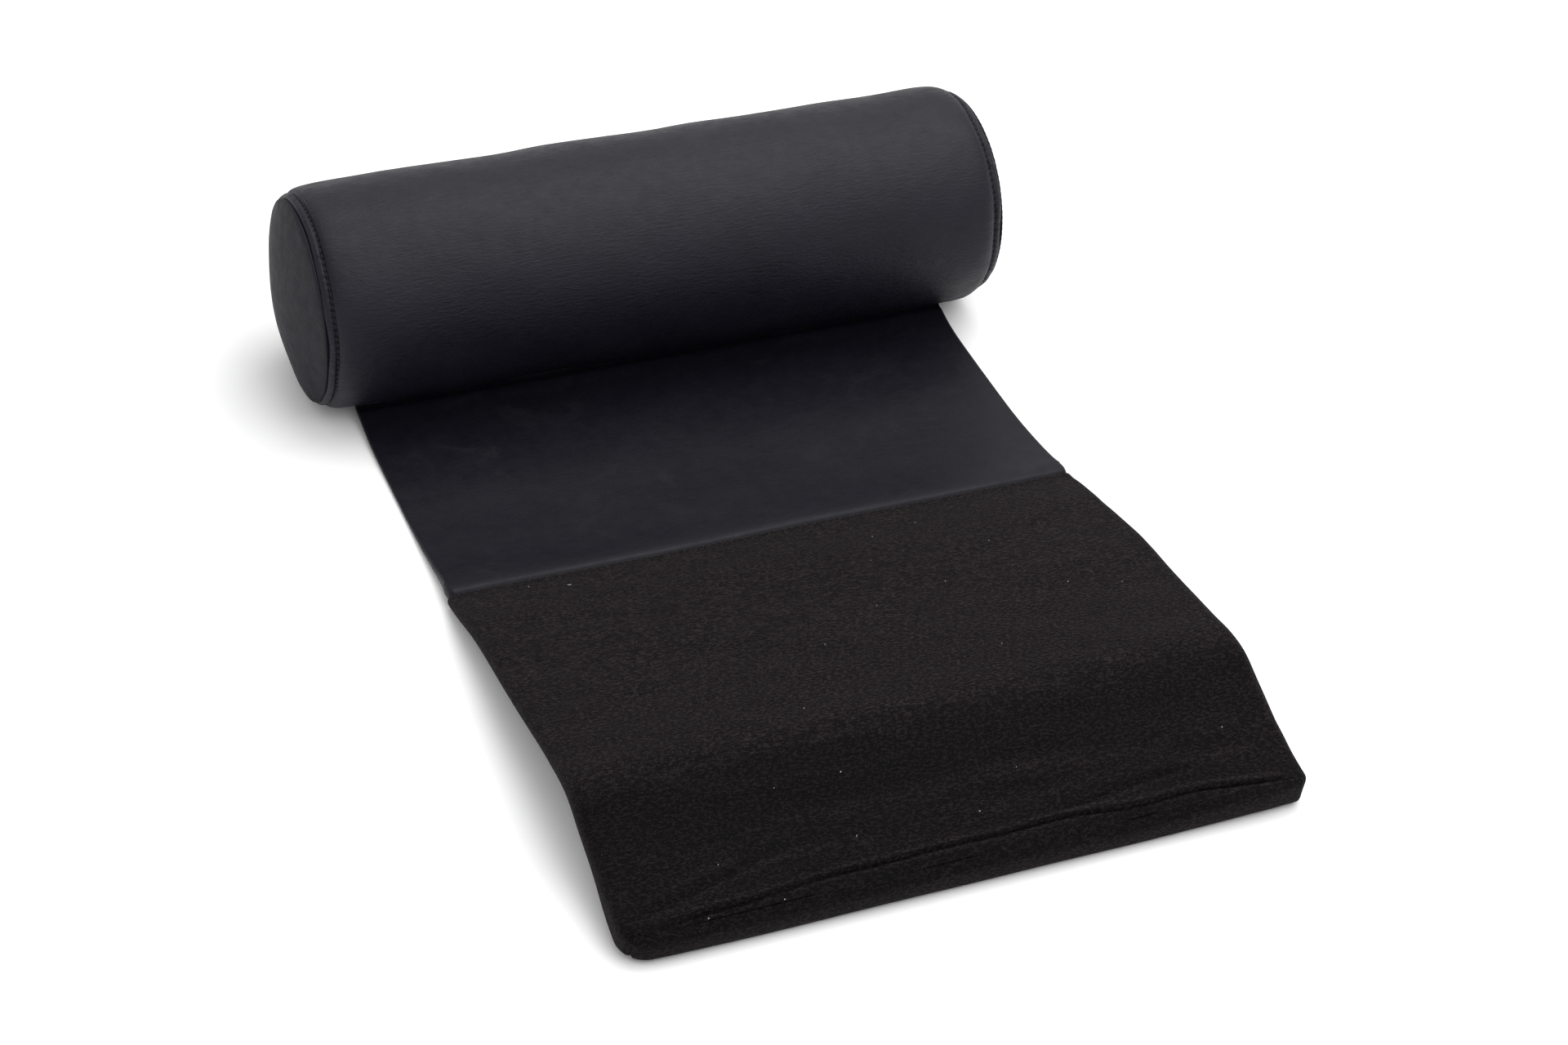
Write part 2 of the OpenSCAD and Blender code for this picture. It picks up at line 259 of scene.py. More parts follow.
class Nodes:
    """Short helper to write a node material."""

    def __init__(self, name):
        self.mat = bpy.data.materials.new(name)
        self.mat.use_nodes = True
        self.t = self.mat.node_tree
        self.t.nodes.clear()
        self.out = self.t.nodes.new("ShaderNodeOutputMaterial")
        self.bsdf = self.t.nodes.new("ShaderNodeBsdfPrincipled")
        self.link(self.bsdf.outputs[0], self.out.inputs[0])

    def link(self, a, b):
        self.t.links.new(a, b)

    def new(self, kind, **kw):
        n = self.t.nodes.new(kind)
        for k, v in kw.items():
            setattr(n, k, v)
        return n

    def surf(self, scale=(1, 1, 1), rot=(0, 0, 0)):
        a = self.new("ShaderNodeAttribute", attribute_name="surf")
        m = self.new("ShaderNodeMapping")
        m.inputs["Scale"].default_value = scale
        m.inputs["Rotation"].default_value = rot
        self.link(a.outputs["Vector"], m.inputs["Vector"])
        return m.outputs[0]

    def obj(self, scale=(1, 1, 1)):
        a = self.new("ShaderNodeTexCoord")
        m = self.new("ShaderNodeMapping")
        m.inputs["Scale"].default_value = [s * 1000 for s in scale]
        self.link(a.outputs["Object"], m.inputs["Vector"])
        return m.outputs[0]

    def noise(self, vec, scale=1.0, detail=3.0, rough=0.55, dist=0.0):
        n = self.new("ShaderNodeTexNoise")
        n.inputs["Scale"].default_value = scale
        n.inputs["Detail"].default_value = detail
        n.inputs["Roughness"].default_value = rough
        n.inputs["Distortion"].default_value = dist
        self.link(vec, n.inputs["Vector"])
        return n.outputs[0]

    def voronoi(self, vec, scale=1.0, feature="F1", rand=1.0, out=0):
        n = self.new("ShaderNodeTexVoronoi", feature=feature)
        n.inputs["Scale"].default_value = scale
        n.inputs["Randomness"].default_value = rand
        self.link(vec, n.inputs["Vector"])
        return n.outputs[out]

    def map(self, val, a, b, c, d):
        n = self.new("ShaderNodeMapRange")
        for i, q in zip(("From Min", "From Max", "To Min", "To Max"), (a, b, c, d)):
            n.inputs[i].default_value = q
        self.link(val, n.inputs["Value"])
        return n.outputs[0]

    def facing(self):
        n = self.new("ShaderNodeLayerWeight")
        n.inputs["Blend"].default_value = 0.5
        return n.outputs["Facing"]

    def math(self, op, a, b=None):
        n = self.new("ShaderNodeMath", operation=op)
        for i, q in enumerate((a, b)):
            if q is None:
                continue
            if isinstance(q, (int, float)):
                n.inputs[i].default_value = q
            else:
                self.link(q, n.inputs[i])
        return n.outputs[0]

    def ramp(self, val, stops):
        n = self.new("ShaderNodeValToRGB")
        e = n.color_ramp.elements
        while len(e) < len(stops):
            e.new(0.5)
        for k, (p, c) in enumerate(stops):
            e[k].position = p
            e[k].color = (*c, 1)
        self.link(val, n.inputs[0])
        return n.outputs[0]

    def mix(self, fac, a, b):
        n = self.new("ShaderNodeMix", data_type="RGBA")
        for s, q in ((n.inputs[0], fac), (n.inputs[6], a), (n.inputs[7], b)):
            if isinstance(q, (int, float)):
                s.default_value = q
            elif isinstance(q, (tuple, list)):
                s.default_value = (*q, 1)
            else:
                self.link(q, s)
        return n.outputs[2]

    def bump(self, height, dist_mm, strength=1.0, normal=None):
        n = self.new("ShaderNodeBump")
        n.inputs["Strength"].default_value = strength
        n.inputs["Distance"].default_value = dist_mm * MM
        self.link(height, n.inputs["Height"])
        if normal is not None:
            self.link(normal, n.inputs["Normal"])
        return n.outputs[0]

    def set(self, **kw):
        for k, v in kw.items():
            s = self.bsdf.inputs[k.replace("_", " ")]
            if isinstance(v, (int, float)):
                s.default_value = v
            elif isinstance(v, tuple):
                s.default_value = (*v, 1) if len(v) == 3 else v
            else:
                self.link(v, s)
        return self.mat


def leatherette(name, dark, light, rough, crease=1.0, grain=1.0, smudge=0.0, gloss=0.21, graze=None):
    """Coated black leatherette: fine pebble grain, short creases along X, faint cloudy tone."""
    m = Nodes(name)
    cloud = m.noise(m.surf(), 0.035, 4, 0.6)
    tone = m.noise(m.surf((0.35, 1, 1)), 0.55, 3, 0.6)
    base = m.mix(m.map(cloud, 0.3, 0.7, 0.0, 1.0), dark, light)
    base = m.mix(m.map(tone, 0.45, 0.75, 0.0, 0.35), base, tuple(min(1, c * 1.5) for c in light))
    r = m.map(m.noise(m.surf(), 0.12, 5, 0.6), 0.3, 0.7, rough - 0.05, rough + 0.06)
    if smudge:
        marks = m.noise(m.surf((1, 1.3, 1)), 0.022, 6, 0.68, 0.8)
        base = m.mix(m.map(marks, 0.56, 0.72, 0.0, smudge), base, (0.05, 0.05, 0.054))
        r = m.math("ADD", r, m.map(marks, 0.5, 0.7, 0.0, 0.08))
    creases = m.noise(m.surf((0.22, 1, 1)), 0.75, 4, 0.62, 0.35)
    pebble = m.voronoi(m.surf(), 1.35, "SMOOTH_F1")
    swell = m.noise(m.surf((0.6, 1, 1)), 0.085, 2, 0.5)
    n = m.bump(swell, 0.5, 0.35)
    n = m.bump(creases, 0.30 * crease, 0.75, n)
    n = m.bump(pebble, 0.07 * grain, 0.8, n)
    if graze is not None:      # the coating throws back less at a low angle
        gloss = m.map(m.facing(), graze[0], graze[1], gloss, graze[2])
    return m.set(Base_Color=base, Roughness=r, Normal=n, Specular_IOR_Level=gloss)


def felt(name):
    """Brushed velour felt: short streaks along X, matt, with a little sheen and a few lint specks."""
    m = Nodes(name)
    streak = m.noise(m.surf((0.52, 1, 1)), 0.84, 2, 0.55, 0.3)
    fine = m.noise(m.surf((0.7, 1, 1)), 1.5, 2, 0.6, 0.2)
    cloud = m.noise(m.surf(), 0.03, 4, 0.6)
    f = m.math("ADD", m.math("MULTIPLY", streak, 0.54), m.math("MULTIPLY", fine, 0.46))
    col = m.ramp(f, [(0.43, (0.0001, 0.0001, 0.0001)), (0.50, (0.0022, 0.0013, 0.0015)), (0.585, (0.0185, 0.0136, 0.0148))])
    col = m.mix(m.map(cloud, 0.35, 0.65, 0.0, 0.25), col, (0.0030, 0.0023, 0.0025))
    # painted sheen: the colour is darker where the felt faces the view and lighter where it is seen at a low angle, in
    # place of the sheen reflection of the bright surroundings
    col = m.mix(m.map(m.facing(), 0.12, 0.38, 0.50, 0.0), col, (0.0005, 0.0004, 0.0004))
    specks = m.voronoi(m.surf(), 0.085)
    pick = m.new("ShaderNodeSeparateColor")
    vor = specks.node
    m.link(vor.outputs["Color"], pick.inputs[0])
    lint = m.math("MULTIPLY", m.math("LESS_THAN", specks, 0.028), m.math("GREATER_THAN", pick.outputs[0], 0.66))
    col = m.mix(lint, col, (0.34, 0.33, 0.33))
    n = m.bump(f, 1.3, 1.0)
    m.bsdf.inputs["Sheen Weight"].default_value = 0.035
    m.bsdf.inputs["Sheen Roughness"].default_value = 0.45
    m.bsdf.inputs["Sheen Tint"].default_value = (0.75, 0.68, 0.68, 1)
    return m.set(Base_Color=col, Roughness=0.92, Normal=n, Specular_IOR_Level=0.11)


def thread(name):
    m = Nodes(name)
    ply = m.new("ShaderNodeTexWave", wave_type="BANDS", bands_direction="DIAGONAL")
    ply.inputs["Scale"].default_value = 1.1
    m.link(m.surf((1, 0.9, 1)), ply.inputs["Vector"])
    col = m.ramp(ply.outputs["Fac"], [(0.2, (0.004, 0.004, 0.0045)), (0.8, (0.02, 0.02, 0.022))])
    return m.set(Base_Color=col, Roughness=0.55, Normal=m.bump(ply.outputs["Fac"], 0.12, 0.8))


def woven(name, a, b, pitch, rough=0.85, bump=0.25):
    """Plain woven cloth with the given thread pitch in millimetres."""
    m = Nodes(name)
    waves_ = []
    for d in ("X", "Y"):
        w = m.new("ShaderNodeTexWave", wave_type="BANDS", bands_direction=d, wave_profile="SIN")
        w.inputs["Scale"].default_value = 0.314 / pitch
        w.inputs["Distortion"].default_value = 0.4
        w.inputs["Detail"].default_value = 1.0
        m.link(m.surf(), w.inputs["Vector"])
        waves_.append(w.outputs["Fac"])
    h = m.math("MULTIPLY", waves_[0], waves_[1])
    cloud = m.noise(m.surf(), 0.05, 3)
    col = m.mix(h, a, b)
    col = m.mix(m.map(cloud, 0.3, 0.7, 0.0, 0.4), col, tuple(c * 0.8 for c in b))
    return m.set(Base_Color=col, Roughness=rough, Normal=m.bump(h, bump, 0.9))


def fluffy(name, a, b, scale, bump):
    m = Nodes(name)
    f = m.noise(m.surf(), scale, 6, 0.75, 0.6)
    col = m.ramp(f, [(0.3, a), (0.7, b)])
    return m.set(Base_Color=col, Roughness=0.95, Normal=m.bump(f, bump, 0.9))


def foamy(name):
    m = Nodes(name)
    cell = m.voronoi(m.surf(), 0.9)
    tone = m.noise(m.surf(), 0.03, 3)
    col = m.mix(m.map(tone, 0.3, 0.7, 0, 1), (0.80, 0.70, 0.40), (0.88, 0.80, 0.54))
    # painted shade: each cell's dent, where a pore is, is coloured darker
    col = m.mix(m.map(cell, 0.0, 0.35, 0.45, 0.0), col, (0.42, 0.34, 0.18))
    return m.set(Base_Color=col, Roughness=0.95, Normal=m.bump(cell, 0.5, 0.8))


def metal(name, base, rough):
    m = Nodes(name)
    scuff = m.noise(m.surf((0.2, 2.2, 1)), 1.6, 5, 0.7)
    wear = m.noise(m.surf(), 0.5, 4)
    col = m.mix(m.map(wear, 0.45, 0.75, 0.0, 0.5), base, tuple(c * 1.7 for c in base))
    return m.set(Base_Color=col, Metallic=1.0, Roughness=m.map(scuff, 0.3, 0.7, rough - 0.08, rough + 0.12),
                 Normal=m.bump(scuff, 0.02, 0.6))


def nylon(name):
    m = Nodes(name)
    tone = m.noise(m.surf(), 0.8, 3)
    col = m.mix(m.map(tone, 0.3, 0.7, 0, 1), (0.008, 0.008, 0.009), (0.018, 0.018, 0.02))
    return m.set(Base_Color=col, Roughness=0.34, Normal=m.bump(tone, 0.03, 0.5))


def shot(name):
    m = Nodes(name)
    cell = m.voronoi(m.surf(), 0.45)
    # painted highlight and shade: each pellet is coloured lighter in its middle and dark in the gaps between pellets
    col = m.ramp(cell, [(0.1, (0.34, 0.34, 0.35)), (0.7, (0.05, 0.05, 0.052))])
    return m.set(Base_Color=col, Metallic=0.9, Roughness=0.42, Normal=m.bump(m.map(cell, 0, 0.8, 1, 0), 1.2, 1.0))


MAT = {
    "roll": leatherette("roll_leatherette", (0.0050, 0.0044, 0.0091), (0.0076, 0.0068, 0.0130), 0.45, 1.8, 1.6, 0.0, 0.21, (0.55, 0.92, 0.07)),
    "end": leatherette("roll_end_leatherette", (0.0046, 0.0041, 0.0078), (0.0070, 0.0063, 0.0114), 0.54, 0.9, 1.2, 0.0, 0.20, (0.3, 0.72, 0.055)),
    "flap": leatherette("flap_leatherette", (0.0040, 0.0036, 0.0068), (0.0060, 0.0054, 0.0096), 0.47, 0.35, 0.7, 0.08, 0.17),
    "felt": felt("felt"),
    "thread": thread("thread"),
    "foam": foamy("foam"),
    "wadding": fluffy("wadding", (0.70, 0.70, 0.67), (0.92, 0.92, 0.90), 0.35, 1.6),
    "liner": woven("liner", (0.55, 0.53, 0.47), (0.78, 0.76, 0.70), 0.6),
    "tape": woven("zip_tape", (0.006, 0.006, 0.007), (0.022, 0.022, 0.024), 0.55, 0.8, 0.2),
    "coil": nylon("zip_coil"),
    "metal": metal("zip_metal", (0.105, 0.105, 0.112), 0.34),
    "stiffener": fluffy("stiffener", (0.46, 0.46, 0.43), (0.62, 0.62, 0.58), 1.2, 0.25),
    "padding": fluffy("padding", (0.10, 0.10, 0.095), (0.20, 0.20, 0.19), 0.7, 0.7),
    "ticking": woven("ticking", (0.50, 0.45, 0.34), (0.72, 0.66, 0.54), 0.5),
    "shot": shot("steel_shot"),
}


def finish_piece(ob, mat, *nodes):
    ob.data.materials.clear()
    ob.data.materials.append(MAT[mat])
    if nodes:
        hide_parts(*nodes)
    return ob


# ---- roll: outer cover ------------------------------------------------------

# The cover's section along the roll: [distance in from the end seam, radius]
SEC = np.array([[0.55, 52.2], [0.18, 53.2], [0.0, 54.1], [0.12, 54.75], [0.5, 55.2], [1.0, 55.55], [1.6, 55.9], [2.3, 56.12],
                [3.0, 56.15], [3.5, 56.02], [3.85, 55.86], [4.1, 55.74], [4.3, 55.68], [4.5, 55.78], [4.75, 56.05],
                [5.1, 56.6], [5.6, 57.3], [6.3, 57.9], [7.3, 58.25], [8.8, 58.5], [11, 58.68], [14, 58.85], [18, 59.06],
                [23, 59.28], [29, 59.5], [36, 59.7], [44, 59.86], [53, 59.96]])


def slit_half(x):
    """Half the width of the zip's opening; it closes to a plain seam past the zip's ends."""
    return 2.3 - 2.27 * smooth(152.5, 158.0, np.abs(x))


def gathers(angle, seed, n=46, w0=1.2, w1=4.2):
    """Small random puckers round an end seam."""
    g = rng(seed)
    out = np.zeros_like(angle)
    for _ in range(n):
        c, w, a = g.uniform(-180, 180), g.uniform(w0, w1), g.uniform(-0.5, 1.0)
        d = (angle - c + 180) % 360 - 180
        out = out + a * np.exp(-(d / w) ** 2)
    return out


def barrel_points():
    circ = 2 * math.pi * ROLL_R
    # columns go round from one lip of the zip, over the top, to the other lip
    t_lip = np.array([0.0, 0.0, 0.02, 0.16, 0.45, 0.86, 1.4, 2.0, 2.8])   # sideways from the opening's edge
    d_lip = np.array([1.14, 1.05, 0.88, 0.60, 0.33, 0.13, 0.03, 0.0, 0.0])   # how deep
    base = np.arange(0, STITCHES * 5) * circ / (STITCHES * 5)
    base = base[(base > 2.3 + 3.4) & (base < circ - 2.3 - 3.4)]
    root = ((ROOT_A - ZIP_A) % 360) * circ / 360
    base = base[np.abs(base - root) > 3.6]
    fine = root + np.array([-3.4, -2.9, -2.4, -1.95, -1.6, -1.42, -1.34, -1.1, -0.55, 0, 0.55, 1.1, 1.34, 1.42, 1.6, 1.95, 2.4, 2.9, 3.4])
    mid = np.sort(np.concatenate([base, fine]))
    arc = np.concatenate([2.3 + t_lip, mid, circ - 2.3 - t_lip[::-1]])
    depth = np.concatenate([d_lip, np.zeros(len(mid)), d_lip[::-1]])
    left = np.arange(len(arc)) < len(arc) / 2

    inner = np.linspace(60, 190, 15)[1:]
    s = np.concatenate([SEC[:, 0], inner])
    r = np.concatenate([SEC[:, 1], np.full(len(inner), 60.0)])
    xs = np.concatenate([-(SEAM_X - s), (SEAM_X - s)[::-1][1:]])
    rr = np.concatenate([r, r[::-1][1:]])
    ss = np.concatenate([s, s[::-1][1:]])
    A, X = np.meshgrid(arc, xs, indexing="ij")
    R = np.broadcast_to(rr, A.shape).copy()
    S = np.broadcast_to(ss, A.shape)

    # the opening closes past the zip
    dist = np.where(left[:, None], A - 2.3, circ - 2.3 - A)
    fade = np.exp(-np.maximum(dist, 0) / 7.0)
    shift = (slit_half(X) - 2.3) * fade
    A2 = np.where(left[:, None], A + shift, A - shift)
    ang = ZIP_A + A2 * 360 / circ
    wrapped = (ang + 180) % 360 - 180

    # the root seam's groove
    t = (wrapped - ROOT_A) * circ / 360
    at = np.abs(t)
    q = np.clip(at - 1.36, 0, 1.6)
    wide = np.where(at < 1.35, 2.9, 1.6 - np.sqrt(np.maximum(1.6 ** 2 - (1.6 - q) ** 2, 0)))
    plain = 1.2 * np.exp(-(at / 0.75) ** 1.3)
    k = smooth(166.6, 169.5, np.abs(X))
    groove = wide * (1 - k) + plain * k

    # soft shape: the filling's swell, the puckers by each end seam and the stitch holes
    ang_s = 360.0 / STITCHES
    phase = ((wrapped + 180) / ang_s) % 1.0
    hole = np.minimum(phase, 1 - phase) * ang_s * math.pi / 180 * 56
    end = np.where(X < 0, 1, 2)
    puck = np.where(end == 1, gathers(wrapped, 11), gathers(wrapped, 12))
    puck2 = np.where(end == 1, gathers(wrapped, 21, 150, 0.7, 1.9), gathers(wrapped, 22, 150, 0.7, 1.9))
    R = R + 0.34 * waves(3, X, A, (70, 190), (60, 190), 12) * smooth(3, 40, S)
    R = R + 0.10 * waves(4, X, A, (24, 60), (18, 50), 16) * smooth(5, 20, S)
    R = R + np.where(X > 0, 1.35 * np.exp(-((S - 15) / 17.0) ** 2), 0.40 * np.exp(-((S - 17) / 13.0) ** 2)) * smooth(4.6, 11, S)
    R = R + 0.20 * puck * np.exp(-np.maximum(S - 4.3, 0) / 6.5) * smooth(4.3, 5.6, S)
    R = R + 0.34 * puck2 * np.exp(-((S - 2.2) / 1.5) ** 2)
    R = R + 0.12 * np.cos(2 * math.pi * phase * 1.0) * -1 * np.exp(-((S - 2.6) / 1.3) ** 2)
    R = R - 0.55 * np.exp(-(hole / 0.6) ** 2 - ((S - 4.3) / 0.6) ** 2)
    R = R + 0.35 * np.exp(-(((hole - 1.7) / 0.9) ** 2)) * np.exp(-((S - 5.4) / 0.8) ** 2)
    X2 = X + np.where(X < 0, -1, 1) * 0.25 * waves(6, A, A * 0, (30, 90), (40, 50), 8) * np.exp(-S / 8.0)
    Rr = R - groove - depth[:, None] * np.where(S < 1.2, 0.35, 1.0)
    P = on_roll(wrapped, Rr, X2)
    # the padding flattens where it rests
    z = P[..., 2]
    P[..., 2] = np.where(z < 1.2, 0.06 + np.log1p(np.exp((z - 0.06) / 0.45)) * 0.45, z)
    surf = np.stack([X, A, np.zeros_like(A)], -1)
    return P, surf


barrel_P, barrel_surf = barrel_points()


def barrel_inner(P):
    """The cover's back: a plain skin under the front, so small creases don't make it cross itself."""
    centre = np.array([0, ROLL_Y, ROLL_Z])
    rad = P - centre
    rad[..., 0] = 0
    r = np.linalg.norm(rad, axis=-1, keepdims=True)
    u = rad / r
    x = P[..., 0]
    out = P - u * 1.15
    return out


_inner = barrel_inner(barrel_P.copy())
# the lips and the end folds get their thickness sideways, not inwards
_n = normals_of(barrel_P)
_c = barrel_P - np.array([0, ROLL_Y, ROLL_Z])
_c[..., 0] = 0
_c /= np.linalg.norm(_c, axis=-1, keepdims=True)
_sgn = np.sign((_n * _c).sum(-1))
_ref = np.sign(np.median(_sgn))
_n = _n * _ref
_steep = 1 - np.abs((_n * _c).sum(-1, keepdims=True))
_w = smooth(0.25, 0.7, _steep)
_side = barrel_P - _n * 1.0
_inner = _inner * (1 - _w) + _side * _w
roll_barrel = shell_from_grid("roll_barrel_cover", barrel_P, _inner, barrel_surf)
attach(finish_piece(roll_barrel, "roll", "barrel_cover"), "roll")


# ---- roll: ends -------------------------------------------------------------

def end_points(sgn):
    n = STITCHES * 4
    ang = np.arange(n) * 360.0 / n - 180
    prof = np.array([[52.1, -0.55], [53.1, -0.15], [53.85, 0.12], [54.2, 0.55], [54.05, 1.0], [53.5, 1.42], [52.6, 1.82],
                     [51.3, 2.28], [49.5, 2.85], [47.2, 3.5], [44.5, 4.25], [41.5, 5.0], [38, 5.8], [34, 6.65], [30, 7.4],
                     [26, 8.05], [22, 8.62], [18, 9.1], [14, 9.48], [10, 9.75], [6.5, 9.9], [3, 9.97]])
    A, R0 = np.meshgrid(ang, prof[:, 0], indexing="ij")
    H = np.broadcast_to(prof[:, 1], A.shape).copy() * (1.15 if sgn < 0 else 1.0)
    d = np.maximum(54.2 - R0, 0)
    y, z = R0 * np.sin(np.radians(A)), R0 * np.cos(np.radians(A))
    H = H + 0.22 * gathers(A, 31 if sgn < 0 else 32, 60) * np.exp(-((d - 2.6) / 2.2) ** 2)
    H = H + 0.10 * np.cos(np.radians(A) * STITCHES) * np.exp(-((d - 1.2) / 1.1) ** 2)
    H = H + 0.30 * waves(33 if sgn < 0 else 34, y, z, (60, 140), (60, 140), 8) * smooth(0, 14, d)
    P = on_roll(A, R0, sgn * (SEAM_X + H))
    zz = P[..., 2]
    P[..., 2] = np.where(zz < 1.2, 0.06 + np.log1p(np.exp((zz - 0.06) / 0.45)) * 0.45, zz)
    surf = np.stack([y, z, np.zeros_like(y)], -1)
    return P, surf, R0


for side, sgn in (("left", -1), ("right", 1)):
    P, S, R0 = end_points(sgn)
    I = P.copy()
    I[..., 0] -= sgn * 1.1
    u = P - np.array([0, ROLL_Y, ROLL_Z])
    u[..., 0] = 0
    u /= np.maximum(np.linalg.norm(u, axis=-1, keepdims=True), 1e-9)
    I -= u * (0.9 * smooth(50.5, 53.5, R0))[..., None]
    pole = np.array([sgn * (SEAM_X + (11.48 if sgn < 0 else 9.98)), ROLL_Y, ROLL_Z])
    cap = shell_from_grid("roll_end_" + side, P, I, S, wrap_u=True, close_v=(True, False),
                          poles=(pole, pole - np.array([sgn * 1.1, 0, 0]), np.zeros(3)))
    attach(finish_piece(cap, "end", "end_cap_" + side), "roll")
    # topstitching just inside the seam: one thread per stitch
    a0 = -180 + 360.0 / STITCHES * np.arange(STITCHES)
    step = 360.0 / STITCHES
    g = rng(41 if sgn < 0 else 42)
    xs = sgn * (SEAM_X - STITCH_IN) + g.normal(0, 0.05, STITCHES)
    r = 55.62
    A = on_roll(a0 + step * 0.11, r, xs)
    B = on_roll(a0 + step * 0.89, r, xs + g.normal(0, 0.05, STITCHES))
    nrm = on_roll(a0 + step * 0.5, 1.0, 0 * xs) - np.array([0, ROLL_Y, ROLL_Z])
    st = capsules("end_stitches_" + side, A, B, 0.30, 0.16, 8, nrm)
    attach(finish_piece(st, "thread", "end_stitching_" + side), "roll")


# ---- flap, pouch: padded lengths between two outlines -----------------------

def slab(name, xs, ss, nn, W, H, rad, place, corner=(0, 0), corner0=(0, 0)):
    """A soft closed form. xs, ss: grid lines; H(s): half thickness; rad(s): edge rounding; place(x, s, t) puts it in space,
    with t from -1 (underside) to 1 (top). corner: rounding in plan at the far end, left and right."""
    nx, ns = len(xs), len(ss)
    s0, s1 = ss[0], ss[-1]
    per = [(i, 0) for i in range(nx)] + [(nx - 1, j) for j in range(1, ns)] + [(i, ns - 1) for i in range(nx - 2, -1, -1)] \
        + [(0, j) for j in range(ns - 2, 0, -1)]
    top = np.arange(nx * ns).reshape(nx, ns)
    bot = top + nx * ns
    tl = np.linspace(1, -1, nn + 2)[1:-1]
    X, S = np.meshgrid(xs, ss, indexing="ij")
    x = [X.ravel(), X.ravel()]
    s = [S.ravel(), S.ravel()]
    t = [np.ones(nx * ns), -np.ones(nx * ns)]
    pi = np.array([p[0] for p in per])
    pj = np.array([p[1] for p in per])
    for q in tl:
        x.append(np.asarray(xs)[pi])
        s.append(np.asarray(ss)[pj])
        t.append(np.full(len(per), q))
    x, s, t = map(np.concatenate, (x, s, t))
    quads = [grid_quads(nx, ns), grid_quads(nx, ns, nx * ns)[:, ::-1]]
    layers = [top[pi, pj]] + [2 * nx * ns + k * len(per) + np.arange(len(per)) for k in range(nn)] + [bot[pi, pj]]
    for a, b in zip(layers[:-1], layers[1:]):
        quads.append(np.stack([a, b, np.roll(b, -1), np.roll(a, -1)], -1))
    # round every edge
    h = H(s)
    r = np.minimum(rad(s), h)
    n = t * h
    qx, qs, qn = np.clip(x, -(W - r), W - r), np.clip(s, s0 + r, s1 - r), np.clip(n, -(h - r), h - r)
    d = np.stack([x - qx, s - qs, n - qn], -1)
    L = np.linalg.norm(d, axis=-1)
    f = np.where(L > 1e-9, np.minimum(r / np.maximum(L, 1e-9), 1.0), 0)
    x2, s2, n2 = qx + d[:, 0] * f, qs + d[:, 1] * f, qn + d[:, 2] * f
    # round the corners in plan
    for sg, c, far in ((-1, corner[0], 1), (1, corner[1], 1), (-1, corner0[0], 0), (1, corner0[1], 0)):
        if c <= 0:
            continue
        dx = sg * x2 - (W - c)
        ds = (s2 - (s1 - c)) if far else ((s0 + c) - s2)
        m = (dx > 0) & (ds > 0)
        k = np.where(m, np.maximum(dx, ds) / np.maximum(np.hypot(dx, ds), 1e-9), 1)
        x2 = np.where(m, sg * (W - c + dx * k), x2)
        s2 = np.where(m, (s1 - c + ds * k) if far else (s0 + c - ds * k), s2)
    tt = np.clip(n2 / H(np.clip(s2, s0, s1)), -1.2, 1.2)
    P = place(x2, s2, tt)
    surf = np.stack([x2, s2, tt * H(s2)], -1)
    return make_mesh(name, P, np.concatenate(quads), (), surf)


def edge_lines(a, b, step, r0, r1, n0=7, n1=7, extra=()):
    """Grid lines from a to b: even inside, closer over the rounding at both ends."""
    e0 = a + r0 * (1 - np.tan(np.linspace(math.pi / 4, 0, n0))) if n0 else np.array([a])
    e1 = b - r1 * (1 - np.tan(np.linspace(0, math.pi / 4, n1))) if n1 else np.array([b])
    n = max(2, int(round((e1[0] - e0[-1]) / step)))
    mid = np.linspace(e0[-1], e1[0], n + 1)[1:-1]
    for lo, hi, st in extra:
        keep = mid[(mid < lo) | (mid > hi)]
        mid = np.sort(np.concatenate([keep, np.arange(lo, hi, st)]))
    return np.concatenate([e0, mid, e1])


class Length:
    """A run between an underside and a top outline, measured along its middle."""

    def __init__(self, stations):
        st = np.array(stations, float)      # [y under, z under, y top, z top]
        self.mid = (st[:, :2] + st[:, 2:]) / 2
        self.s = np.concatenate([[0], np.cumsum(np.hypot(*np.diff(self.mid, axis=0).T))])
        self.L = self.s[-1]
        self.f = [spline(self.s, st[:, k]) for k in range(4)]
        self.h = pchip(self.s, np.hypot(st[:, 2] - st[:, 0], st[:, 3] - st[:, 1]) / 2)

    def at(self, s, t):
        s = np.clip(s, 0, self.L)
        yb, zb, yt, zt = (f(s) for f in self.f)
        return (yb + yt) / 2 + t * (yt - yb) / 2, (zb + zt) / 2 + t * (zt - zb) / 2

    def s_at_y(self, y):
        g = np.linspace(0, self.L, 2000)
        ys = self.at(g, 0 * g)[0]
        return g[np.argmin(np.abs(ys - y))]


def root_pt2(r, t):
    """Beside the root seam's line: r out from the roll's axis, t towards the back."""
    a = math.radians(ROOT_A)
    return (ROLL_Y + r * math.sin(a) + t * math.cos(a), ROLL_Z - r * math.cos(a) + t * math.sin(a))


